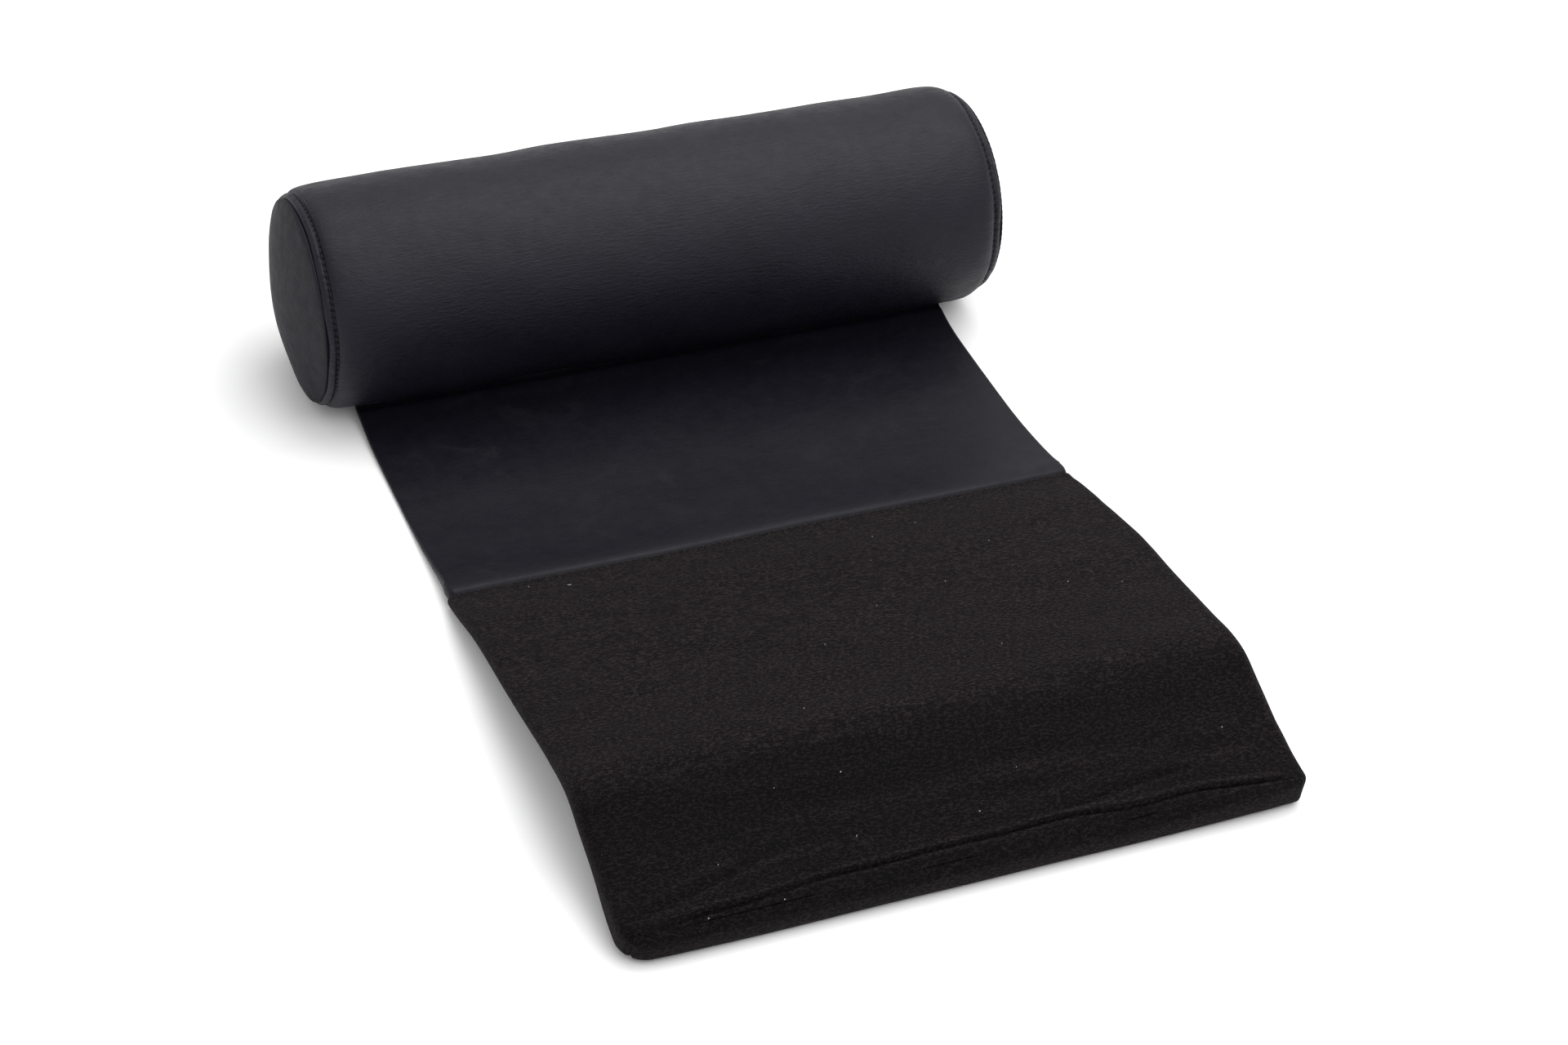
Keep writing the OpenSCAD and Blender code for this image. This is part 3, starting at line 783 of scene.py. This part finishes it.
# The leather flap: from inside the root seam, down to the surface and out to the felt
u0, t0 = root_pt2(57.6, 1.1), root_pt2(57.6, -1.1)
u1, t1 = root_pt2(60.2, 1.25), root_pt2(60.2, -1.25)
u2, t2 = root_pt2(62.0, 1.2), root_pt2(62.2, -1.3)
FLAP = Length([
    [*u0, *t0], [*u1, *t1], [u2[0] - 0.2, u2[1], t2[0] - 0.9, t2[1] + 0.95],
    [163.4, 2.55, 162.6, 6.3], [158, 2.1, 157.6, 5.3], [150, 1.5, 150, 4.15], [136, 0.7, 136, 3.35], [122, 0.25, 122, 2.85],
    [105, 0.05, 105, 2.65], [85, 0.05, 85, 2.75], [65, 0.1, 65, 3.1], [50, 0.5, 50, 4.1], [36, 1.0, 36, 5.3],
    [24, 1.6, 24, 6.7], [14, 2.0, 14, 8.2], [7, 2.2, 7, 9.2], [3, 2.4, 3, 9.35], [0.2, 3.0, 0.2, 8.9]])


FW = 169.4


def flap_wave(x, s):
    """Slow swell over the flap, most in the middle of its length."""
    f = smooth(12, 60, s) * (1 - 0.5 * smooth(150, 170, s))
    return f * (0.30 * waves(51, x, s, (110, 260), (70, 200), 10))


HEM = 9.0


def flap_place(x, s, t, lining=False):
    y, z = FLAP.at(s, t)
    if not lining:      # the lining lies in a shallow step inside the turned-in edges
        z = z + 0.85 * smooth(-0.2, -0.9, t) * (1 - smooth(FW - HEM - 0.5, FW - HEM + 0.5, np.abs(x))) * smooth(9, 10, s) \
            * (1 - smooth(FLAP.L - 9, FLAP.L - 8, s))
    lift = flap_wave(x, s)
    # the leather stands clear of the surface at its edges and sags in between
    z = z + np.maximum(lift + 0.25, 0.0) * smooth(15, 50, s)
    # the seam with the felt isn't quite straight
    y = y + 0.5 * waves(52, x, 0 * x, (90, 240), (50, 60), 8) * smooth(FLAP.L - 40, FLAP.L, s)
    shift = -0.8 * smooth(5, 40, s) * (1 - smooth(FLAP.L - 60, FLAP.L, s))
    belly = 1.0 * np.exp(-((s - (FLAP.L - 7)) / 5.0) ** 2) * np.sign(x) * smooth(140, 165, np.abs(x))
    return np.stack([x + shift + belly, y, z], -1)


flap_xs = edge_lines(-FW, FW, 3.0, 2.6, 2.6, 6, 6, extra=[(-FW + 2.7, -FW + 9, 1.0), (FW - 9, FW - 2.7, 1.0)])
flap_ss = edge_lines(0, FLAP.L, 2.2, 0.6, 2.6, 3, 6, extra=[(0.8, 12, 0.7), (FLAP.L - 14, FLAP.L - 2.8, 0.9)])


def flap_rad(s):
    return np.where(s < 6, 0.5 + 0.1 * s, np.where(s > FLAP.L - 10, 3.0, 1.2 + 0.9 * smooth(60, FLAP.L - 8, s)))


flap_leather = slab("flap_leather", flap_xs, flap_ss, 5, FW, FLAP.h, flap_rad, flap_place)
finish_piece(flap_leather, "flap", "flap_facing", "flap_stiffener", "root_strip")
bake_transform(flap_leather)


def lining_place(x, s, t):
    h = FLAP.h(s)
    return flap_place(x, s, -1 + (t + 1) * 0.40 / h, True)


LW = FW - HEM - 0.2
lining = slab("flap_lining_sheet", edge_lines(-LW, LW, 3.4, 0.4, 0.4, 3, 3), edge_lines(9.4, FLAP.L - 8.4, 3.0, 0.4, 0.4, 3, 3), 2, LW,
              lambda q: 0 * q + 0.40, lambda q: 0 * q + 0.35, lining_place)
finish_piece(lining, "flap", "flap_lining")
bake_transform(lining)

# The felt pouch: a round lip on the fold line, the long pad, the crest and the weight pocket
LIP = 3.6
POUCH = Length([
    [FOLD_Y + LIP, FOLD_Z - LIP, FOLD_Y + LIP, FOLD_Z + LIP], [FOLD_Y, FOLD_Z - LIP, FOLD_Y, FOLD_Z + LIP],
    [-7, 3.0, -7.5, 10.9], [-14, 5.0, -15, 13.4], [-28, 8.4, -29, 17.8], [-49, 12.2, -50, 22.6], [-74, 16.2, -75, 26.9],
    [-106, 20.5, -107, 31.8], [-138, 24.6, -139, 36.4], [-158, 27.0, -159, 39.0], [-172, 28.4, -173.5, 40.6],
    [-182, 26.6, -186, 39.6], [-191, 22.4, -197, 35.4], [-204, 17.0, -210, 30.0], [-219, 10.4, -225, 25.2],
    [-232, 4.6, -238, 22.0], [-243, 0.9, -248, 19.4], [-257.8, 0.3, -258.4, 17.4]])
PW = 171.2


def ridge(d, w):
    return np.exp(-(d / w) ** 2)


crease_back = pchip([-171, -150, -95, -45, 0, 60, 105, 140, 171], [5.0, 7.0, 11.0, 13.0, 13.2, 13.0, 11.5, 8.0, 4.5])


def crease_s(x):
    """Where the light ridge over the front crease lies, along the pouch."""
    return POUCH.L - 1.2 - crease_back(x)


def pouch_folds(x, s):
    """Height of the felt's own folds over its top, in millimetres."""
    L = POUCH.L
    out = 0.38 * waves(61, x, s, (120, 320), (38, 90), 14) * smooth(8, 40, s)
    out = out + 0.16 * waves(62, x, s, (40, 110), (14, 34), 16) * smooth(6, 30, s)
    crest = POUCH.s_at_y(CREST_Y)
    # a faint line over the crest at the left
    line = crest + 2.0 + 0.012 * (x + 60)
    out = out - 0.55 * ridge(s - line, 1.3) * smooth(-125, -95, x) * (1 - smooth(-50, -10, x))
    out = out + 0.30 * ridge(s - line - 3.2, 2.2) * smooth(-125, -95, x) * (1 - smooth(-50, -10, x))
    # soft wrinkles along X between crest and front
    for c, w, a, x0, x1, tilt in ((22, 4.0, 0.55, -150, 20, 0.02), (34, 4.5, -0.6, -120, 90, -0.015), (45, 5.0, 0.6, -60, 160, 0.012),
                                  (56, 3.6, -0.5, -165, -30, 0.03), (60, 4.2, 0.5, 10, 150, -0.02)):
        m = smooth(x0, x0 + 50, x) * (1 - smooth(x1 - 50, x1, x))
        out = out + a * ridge(s - crest - c - tilt * x, w) * m
    # the dark fold above the crease at the left and the branch at the right
    left = crease_s(x) - 7.0 - 11.0 * smooth(-160, -75, x)
    out = out - 1.1 * ridge(s - left, 2.6) * smooth(-163, -150, x) * (1 - smooth(-122, -70, x))
    out = out + 0.5 * ridge(s - left + 6.0, 3.2) * smooth(-163, -140, x) * (1 - smooth(-120, -70, x))
    right = crease_s(x) - 3.5 - 8.0 * smooth(50, 118, x)
    out = out - 1.0 * ridge(s - right, 1.9) * smooth(36, 58, x) * (1 - smooth(100, 128, x))
    return out


def pouch_place(x, s, t, inner=False):
    """A point of the pouch in space; inner is for the filling, which stays clear of the felt's own folds."""
    y, z = POUCH.at(s, t)
    up = np.clip((t + 1) / 2, 0, 1)
    y2, z2 = POUCH.at(s, t + 0.02)
    d = np.stack([y2 - y, z2 - z], -1)
    d /= np.maximum(np.linalg.norm(d, axis=-1, keepdims=True), 1e-9)
    h = pouch_folds(x, s) * smooth(0.2, 1.0, t)
    under = 0.30 * waves(64, x, s, (70, 200), (30, 80), 14) * smooth(0.2, 1.0, -t) * smooth(12, 40, s)
    h = h + under
    if inner:
        h = -0.9 * smooth(0.2, 1.0, t) - 1.9 * smooth(POUCH.L - 40, POUCH.L - 28, s) * smooth(-0.2, 1.0, t)
    # the front face swells, and the felt is creased along its upper edge
    L = POUCH.L
    hh = POUCH.h(s)
    near = smooth(L - 14, L - 4, s)
    y = y - 1.2 * (1 - t ** 2) * near * (1 - 0.85 * smooth(146, 166, np.abs(x)))
    p = (s - (L - 4.6)) + (1 - t) * hh * 0.9 + crease_back(x)
    run = smooth(-160, -138, x) * (1 - smooth(150, 163, x))
    wav = 0.7 * waves(67, x, 0 * x, (50, 160), (50, 60), 8)
    amp = (0.95 + 0.25 * waves(68, x, 0 * x, (40, 120), (50, 60), 8)) * run
    lip = (0 if inner else 1) * amp * ((1.15 + 0.5 * smooth(20, 90, x)) * ridge(p - 3.4 - wav, 1.5 + 0.5 * smooth(20, 90, x)) - 2.1 * ridge(p - 6.2 - wav, 1.2)
                                     + 0.2 * ridge(p - 10.5 - wav, 3.4))
    near2 = smooth(L - 34, L - 26, s) * smooth(-0.6, 0.4, t)
    y, z = y - 0.62 * lip * near2, z + 0.80 * lip * near2
    # below the crease the front is round, and boxy only at the right
    z = z - 3.4 * smooth(L - 13, L, s) ** 1.5 * up * (1 - 0.9 * smooth(80, 150, x))
    y, z = y + d[:, 0] * h, z + d[:, 1] * h
    side = np.sign(x) * smooth(150, 169, np.abs(x))
    wob = 0.55 * waves(65, s, 0 * s, (60, 170), (50, 60), 8) * (x < 0) + 0.55 * waves(66, s, 0 * s, (60, 170), (50, 60), 8) * (x > 0)
    x = x + wob * side * smooth(4, 30, s)
    # the pad is a little thinner towards its edges
    mid = (y * 0 + POUCH.at(s, 0 * t)[1])
    z = mid + (z - mid) * (1 - 0.10 * smooth(120, 169, np.abs(x)) * smooth(20, 60, s))
    y = y + 0.5 * waves(52, x, 0 * x, (90, 240), (50, 60), 8) * (1 - smooth(4, 30, s))
    return np.stack([x, y, np.maximum(z, 0.12)], -1)


def pouch_rad(s):
    return np.interp(s, [0, 8, 30, POUCH.L - 40, POUCH.L - 12, POUCH.L], [LIP, 4.2, 5.6, 6.2, 4.6, 3.6])


pouch_xs = edge_lines(-PW, PW, 2.4, 5.6, 5.6, 8, 8)
pouch_ss = edge_lines(0, POUCH.L, 2.0, LIP, 4.6, 7, 9, extra=[(POUCH.L - 36, POUCH.L - 3.8, 0.8)])
pouch = slab("felt_pouch", pouch_xs, pouch_ss, 7, PW, POUCH.h, pouch_rad, pouch_place, corner=(13, 7), corner0=(2, 2))
finish_piece(pouch, "felt", "pouch_top_felt", "pouch_bottom_felt", "pocket_top_felt", "pocket_bottom_felt")
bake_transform(pouch)

def inside_pouch(name, a, b, W, gap, rad, step=4.0):
    """A filled form between two places along the pouch, inside its felt."""
    def H(q):
        return np.maximum(POUCH.h(q) - gap, 0.6)

    def place(x, q, t):
        return pouch_place(x, q, t * H(q) / POUCH.h(q), True)
    return slab(name, edge_lines(-W, W, step, rad, rad, 5, 5), edge_lines(a, b, step, rad, rad, 5, 5), 4, W, H, lambda q: 0 * q + rad, place)


CREST_S = float(POUCH.s_at_y(CREST_Y))
pad = inside_pouch("pouch_pad", 12.0, CREST_S - 12, PW - 7, 2.2, 2.5)
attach(finish_piece(pad, "padding", "pouch_padding"), "pouch")
bag = inside_pouch("weight_bag_ticking", CREST_S + 12, POUCH.L - 3.4, PW - 9, 2.6, 3.5)
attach(finish_piece(bag, "ticking", "weight_bag"), "pocket")
fill = inside_pouch("weight_shot", CREST_S + 13.2, POUCH.L - 4.4, PW - 10.2, 3.5, 3.0)
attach(finish_piece(fill, "shot", "weight_fill"), "pocket")

# a few loose fibres on the felt, as curled threads
g = rng(71)
fibres = []
for fx, fs, size in ((-112.0, 15.0, 3.2), (-131.0, 9.0, 1.0), (70.0, 26.0, 1.2), (-60.0, 178.0, 1.1), (-118.0, 236.0, 1.0), (-52.0, 238.0, 1.1),
                     (96.0, 60.0, 1.2), (18.0, 96.0, 0.9), (60.0, 150.0, 1.0), (-20.0, 120.0, 0.9), (120.0, 190.0, 1.1), (-80.0, 205.0, 0.9),
                     (35.0, 222.0, 1.0), (140.0, 120.0, 0.8)):
    n = 9 if size > 2 else 5
    th = np.linspace(0, 2.6 if size > 2 else 1.2, n) + g.uniform(0, 6)
    cx, cs = np.cos(th) * size * 0.6 + fx, np.sin(th * 0.8) * size * 0.5 + fs + (np.linspace(0, size * 0.5, n))
    base = pouch_place(cx, cs, np.ones(n))
    base[:, 2] += 0.12 + 0.25 * np.sin(np.linspace(0, math.pi, n)) * (size > 2)
    fibres.append(base)
A = np.concatenate([f[:-1] for f in fibres])
B = np.concatenate([f[1:] for f in fibres])
lint_mat = Nodes("lint")
lint_n = lint_mat.noise(lint_mat.surf(), 1.5, 2)
MAT["lint"] = lint_mat.set(Base_Color=lint_mat.mix(lint_n, (0.34, 0.34, 0.34), (0.60, 0.60, 0.60)), Roughness=0.9)
top_part = A[:, 1] > CREST_Y + 16
for nm, sel, body in (("lint_on_pouch", top_part, "pouch"), ("lint_on_pocket", A[:, 1] < CREST_Y - 16, "pocket")):
    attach(finish_piece(capsules(nm, A[sel], B[sel], 0.13, 0, 8), "lint"), body)


# ---- rows of stitches -------------------------------------------------------

def row(name, x0, x1, pitch, point, normal, radius=0.28, seed=0, sink=0.12):
    n = int(round((x1 - x0) / pitch))
    g = rng(80 + seed)
    k = np.arange(n)
    a, b = x0 + (k + 0.12) * pitch, x0 + (k + 0.88) * pitch
    j = g.normal(0, 0.04, n)
    A, B = point(a, j), point(b, j)
    return capsules(name, A, B, radius, sink, 8, np.broadcast_to(np.asarray(normal, float), A.shape))


def ray(a):
    a = math.radians(a)
    return np.array([0, math.sin(a), -math.cos(a)])


rs = row("root_stitches", -164.5, 164.5, 3.4, lambda x, j: at_angle(ROOT_A, x, 3.7 + j, 59.72), ray(ROOT_A + 3.5), 0.28, 1)
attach(finish_piece(rs, "thread", "root_stitching"), "roll")
rs2 = row("root_stitches_front", -164.5, 164.5, 3.4, lambda x, j: at_angle(ROOT_A, x, -3.7 + j, 59.72), ray(ROOT_A - 3.5), 0.28, 2)
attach(finish_piece(rs2, "thread"), "roll")
for k, t in (("upper", 5.4), ("lower", -5.4)):
    zs = row("zip_stitches_" + k, -157.0, 157.0, 3.2, lambda x, j, t=t: at_angle(ZIP_A, x, t + j, 59.58), ray(ZIP_A + t), 0.27, 3)
    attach(finish_piece(zs, "thread"), "roll")
ps = row("pouch_stitches", -163.5, 163.5, 3.3,
         lambda x, j: np.stack([x, FOLD_Y + 1.35 + 0 * x + 0.5 * waves(52, x, 0 * x, (90, 240), (50, 60), 8), FOLD_Z + 3.12 + 0 * x], -1),
         (0, 0.2, 1), 0.22, 4, 0.05)
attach(finish_piece(ps, "thread", "pouch_stitching"), "flap")

# ---- zip --------------------------------------------------------------------

ZL = 150.0


def zip_tape(name, sgn):
    xs = np.linspace(-ZL - 6, ZL + 6, 120)
    tt = np.concatenate([[0.62, 0.7, 0.95, 1.3, 1.7], np.linspace(2.2, 12.6, 22)])
    X, T = np.meshgrid(xs, tt, indexing="ij")
    rib = 0.05 * np.cos(T * 2 * math.pi / 0.95) + 0.10 * np.exp(-((T - 0.9) / 0.35) ** 2) + 0.06 * np.exp(-((T - 12.3) / 0.3) ** 2)
    a = math.radians(ZIP_A) + sgn * T / 59.0
    def put(r):
        return np.stack([X, ROLL_Y + r * np.sin(a), ROLL_Z - r * np.cos(a)], -1)
    return shell_from_grid(name, put(58.62 + rib), put(58.28 + 0 * T), np.stack([X, T, 0 * T], -1))


def tube(path, radius, sides=6):
    """Vertices and faces of a tube along a path, with closed ends."""
    path = np.asarray(path, float)
    t = np.gradient(path, axis=0)
    t /= np.linalg.norm(t, axis=1, keepdims=True)
    up = np.array([1.0, 0, 0]) if abs(t[0][0]) < 0.9 else np.array([0, 1.0, 0])
    V = []
    for i in range(len(path)):
        up = up - t[i] * (up @ t[i])
        up /= np.linalg.norm(up)
        sd = np.cross(t[i], up)
        for k in range(sides):
            th = 2 * math.pi * k / sides
            V.append(path[i] + radius * (math.cos(th) * up + math.sin(th) * sd))
    n = len(path)
    Q = [(i * sides + k, i * sides + (k + 1) % sides, (i + 1) * sides + (k + 1) % sides, (i + 1) * sides + k)
         for i in range(n - 1) for k in range(sides)]
    T = [(0, k + 1, k) for k in range(1, sides - 1)] + [((n - 1) * sides, (n - 1) * sides + k, (n - 1) * sides + k + 1) for k in range(1, sides - 1)]
    return np.array(V), Q, T


def zip_coil(name, sgn):
    pitch, V, Q, T = 1.25, [], [], []
    base = [(-0.30, 2.12, 59.00), (-0.29, 1.5, 58.98), (-0.25, 0.85, 58.98), (-0.16, 0.60, 59.12), (0.0, 0.54, 59.52), (0.16, 0.60, 59.92),
            (0.25, 0.85, 60.06), (0.29, 1.5, 60.05), (0.30, 2.12, 59.80)]
    off = 0
    for k in range(240):
        x0 = -ZL + (k + (0.25 if sgn > 0 else 0.75)) * pitch
        if x0 > ZL - 0.35:
            continue
        p = at_angle(ZIP_A, [x0 + b[0] for b in base], [sgn * b[1] for b in base], [b[2] for b in base])
        v, q, t = tube(p, 0.25)
        V.append(v)
        Q += [tuple(i + off for i in f) for f in q]
        T += [tuple(i + off for i in f) for f in t]
        off += len(v)
    V = np.concatenate(V)
    return make_mesh(name, V, Q, T, V)


for k, sgn in (("upper", 1), ("lower", -1)):
    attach(finish_piece(zip_tape("zip_tape_woven_" + k, sgn), "tape", "zip_tape_" + k), "roll")
    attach(finish_piece(zip_coil("zip_teeth_" + k, sgn), "coil", "zip_coil_" + k), "roll")


def plate(name, outline, holes, r0, r1, bevel, x_at=0.0):
    """A flat part in the zip's frame, cut from an outline with holes and with rounded edges; outline in (along, sideways)."""
    cu = bpy.data.curves.new(name, "CURVE")
    cu.dimensions = "2D"
    cu.fill_mode = "BOTH"
    for ring in [outline, *holes]:
        sp = cu.splines.new("POLY")
        sp.points.add(len(ring) - 1)
        for p, (a, b) in zip(sp.points, ring):
            p.co = (a, b, 0, 1)
        sp.use_cyclic_u = True
    cu.extrude = max((r1 - r0) / 2 - bevel, 0.001)
    cu.bevel_depth = bevel
    cu.bevel_resolution = 2
    cu.offset = -bevel
    tmp = bpy.data.objects.new(name + "_tmp", cu)
    bpy.context.scene.collection.objects.link(tmp)
    dg = bpy.context.evaluated_depsgraph_get()
    me = bpy.data.meshes.new_from_object(tmp.evaluated_get(dg))
    co = np.array([v.co for v in me.vertices], float)
    faces = [list(p.vertices) for p in me.polygons]
    bpy.data.objects.remove(tmp)
    bpy.data.meshes.remove(me)
    P = at_angle(ZIP_A, co[:, 0] + x_at, co[:, 1], co[:, 2] + (r0 + r1) / 2)
    return P, faces


def from_parts(name, parts):
    V, F, off = [], [], 0
    for v, f in parts:
        V.append(np.asarray(v, float))
        F += [[i + off for i in x] for x in f]
        off += len(v)
    V = np.concatenate(V)
    me = bpy.data.meshes.new(name)
    me.from_pydata((V * MM).tolist(), [], F)
    bm = bmesh.new()
    bm.from_mesh(me)
    bmesh.ops.remove_doubles(bm, verts=bm.verts, dist=1e-6)
    bmesh.ops.recalc_face_normals(bm, faces=bm.faces)
    bm.to_mesh(me)
    bm.free()
    me.validate()
    me.update()
    for p in me.polygons:
        p.use_smooth = True
    me.set_sharp_from_angle(angle=math.radians(38))
    a = me.attributes.new("surf", "FLOAT_VECTOR", "POINT")
    a.data.foreach_set("vector", (np.array([v.co for v in me.vertices], float) * 1000).astype(np.float32).ravel())
    ob = bpy.data.objects.new(name, me)
    bpy.context.scene.collection.objects.link(ob)
    return ob


def rounded_poly(pts, r, n=4):
    """An outline with its corners rounded."""
    out = []
    m = len(pts)
    for i in range(m):
        p, a, b = (np.array(pts[k % m], float) for k in (i, i - 1, i + 1))
        u, v = a - p, b - p
        lu, lv = np.linalg.norm(u), np.linalg.norm(v)
        d = min(r, lu * 0.45, lv * 0.45)
        A, B = p + u / lu * d, p + v / lv * d
        for k in range(n + 1):
            t = k / n
            out.append(tuple((1 - t) ** 2 * A + 2 * t * (1 - t) * p + t ** 2 * B))
    return out


def circle(cx, cy, r, n=20):
    return [(cx + r * math.cos(2 * math.pi * k / n), cy + r * math.sin(2 * math.pi * k / n)) for k in range(n)]


def tube_part(path, radius, sides=10):
    v, q, t = tube(path, radius, sides)
    return v, [list(f) for f in q] + [list(f) for f in t]


ZX = 143.0
PIVOT = ROLL_R + 3.2
arch = [(-3.5, 61.7), (-3.3, 62.4), (-2.9, 63.2), (-2.2, 63.95), (-1.2, 64.25), (0, 64.32), (1.2, 64.25), (2.2, 63.95), (2.9, 63.2), (3.3, 62.4), (3.5, 61.7)]
slider_parts = [
    plate("sl_top", rounded_poly([(-4.5, -2.5), (-1.0, -3.0), (2.0, -3.5), (4.5, -3.4), (4.5, 3.4), (2.0, 3.5), (-1.0, 3.0), (-4.5, 2.5)], 1.2), [], 60.55, 61.8, 0.28, ZX),
    plate("sl_in", rounded_poly([(-4.4, -2.4), (-1.0, -2.7), (4.4, -3.0), (4.4, 3.0), (-1.0, 2.7), (-4.4, 2.4)], 1.2), [], 56.85, 57.75, 0.2, ZX),
    plate("sl_post", rounded_poly([(-1.4, -0.2), (3.4, -0.2), (3.4, 0.2), (-1.4, 0.2)], 0.15), [], 57.6, 60.7, 0.02, ZX),
    tube_part(at_angle(ZIP_A, [ZX + a for a, _ in arch], [0.45] * 11, [b for _, b in arch]), 0.42),
    tube_part(at_angle(ZIP_A, [ZX + a for a, _ in arch], [0.0] * 11, [b for _, b in arch]), 0.42),
    tube_part(at_angle(ZIP_A, [ZX + a for a, _ in arch], [-0.45] * 11, [b for _, b in arch]), 0.42),
]
slider = from_parts("zip_slider_body", slider_parts)
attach(finish_piece(slider, "metal", "zip_slider"), "slider")
pull_out = rounded_poly([(-0.9, -2.2), (3.2, -2.2), (6.2, -1.55), (9.0, -2.4), (17.4, -2.4), (17.4, 2.4), (9.0, 2.4), (6.2, 1.55), (3.2, 2.2), (-0.9, 2.2)], 1.3)
pull_parts = [
    plate("pl", pull_out, [rounded_poly([(0.85, -1.25), (4.2, -1.25), (4.2, 1.25), (0.85, 1.25)], 0.5)[::-1], circle(14.5, 0, 1.3)[::-1]],
          PIVOT - 0.48, PIVOT + 0.48, 0.16, ZX),
    plate("pl_face", rounded_poly([(8.3, -1.5), (12.2, -1.5), (12.2, 1.5), (8.3, 1.5)], 0.6), [], PIVOT + 0.4, PIVOT + 0.62, 0.08, ZX),
    tube_part(at_angle(ZIP_A, [ZX, ZX, ZX], [-2.25, 0, 2.25], [PIVOT] * 3), 0.62, 14),
]
pull = from_parts("zip_pull_tab", pull_parts)
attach(finish_piece(pull, "metal", "zip_pull"), "pull")
for k, sgn in (("left", -1), ("right", 1)):
    st = from_parts("zip_stop_clip_" + k, [plate("st", rounded_poly([(-1.3, -2.0), (1.3, -2.0), (1.3, 2.0), (-1.3, 2.0)], 0.6), [], 58.9, 60.5, 0.3, sgn * (ZL + 1.3))])
    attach(finish_piece(st, "metal", "zip_stop_" + k), "roll")

# ---- carried-over CAD nodes: materials --------------------------------------

def cad_material(node, key):
    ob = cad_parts[node]
    co = np.array([v.co for v in ob.data.vertices], float) * 1000
    a = ob.data.attributes.new("surf", "FLOAT_VECTOR", "POINT")
    a.data.foreach_set("vector", co.astype(np.float32).ravel())
    ob.data.materials.clear()
    ob.data.materials.append(MAT[key])


for node, key in (("foam_core", "foam"), ("wadding_wrap", "wadding"), ("liner_sleeve", "liner")):
    cad_material(node, key)

# ---- camera, floor and light ------------------------------------------------

scene = bpy.context.scene
cam_data = bpy.data.cameras.new("camera")
cam_data.lens = 75.83
cam_data.sensor_width = 36
cam_data.sensor_fit = "HORIZONTAL"
cam_data.clip_start, cam_data.clip_end = 0.05, 60
cam = bpy.data.objects.new("camera", cam_data)
scene.collection.objects.link(cam)
az, el, ro = (math.radians(v) for v in (-24.85, 38.18, 4.65))
back = Vector((math.sin(az) * math.cos(el), -math.cos(az) * math.cos(el), math.sin(el)))
right = Vector((math.cos(az), math.sin(az), 0))
up = back.cross(right)
r2 = math.cos(ro) * right + math.sin(ro) * up
v2 = -math.sin(ro) * right + math.cos(ro) * up
loc = Vector((0.01466, 0.01561, 0.0)) + back * 1.7043
m = Matrix.Identity(4)
for i in range(3):
    m[i][0], m[i][1], m[i][2], m[i][3] = r2[i], v2[i], back[i], loc[i]
cam.matrix_world = m
scene.camera = cam

floor_m = Nodes("pale_floor")
f = floor_m.noise(floor_m.obj((0.01, 0.01, 0.01)), 1.0, 3)
floor_mat = floor_m.set(Base_Color=floor_m.mix(floor_m.map(f, 0.3, 0.7, 0, 1), (0.93, 0.93, 0.93), (0.95, 0.95, 0.95)), Roughness=0.9,
                        Specular_IOR_Level=0.1)
bm = bmesh.new()
bmesh.ops.create_grid(bm, x_segments=8, y_segments=8, size=6.0)
fm = bpy.data.meshes.new("floor")
bm.to_mesh(fm)
bm.free()
floor = bpy.data.objects.new("floor", fm)
floor.data.materials.append(floor_mat)
scene.collection.objects.link(floor)

world = bpy.data.worlds.new("studio")
world.use_nodes = True
scene.world = world
bg = world.node_tree.nodes.get("Background")
bg.inputs[0].default_value = (1.0, 1.0, 1.0, 1)
bg.inputs[1].default_value = 0.82


def area(name, loc_, aim, size, power, colour=(1, 1, 1)):
    d = bpy.data.lights.new(name, "AREA")
    d.shape = "RECTANGLE"
    d.size, d.size_y = size
    d.energy = power
    d.color = colour
    o = bpy.data.objects.new(name, d)
    scene.collection.objects.link(o)
    o.location = loc_
    o.rotation_mode = "QUATERNION"
    o.rotation_quaternion = (Vector(aim) - Vector(loc_)).to_track_quat("-Z", "Y")
    return o


area("top_light", (0.70, 0.40, 2.15), (0, 0.0, 0), (2.3, 2.1), 42)
area("front_light", (0.85, -1.65, 2.2), (0, 0.05, 0.05), (1.8, 1.2), 17)

scene.view_settings.view_transform = "Standard"
scene.view_settings.look = "None"
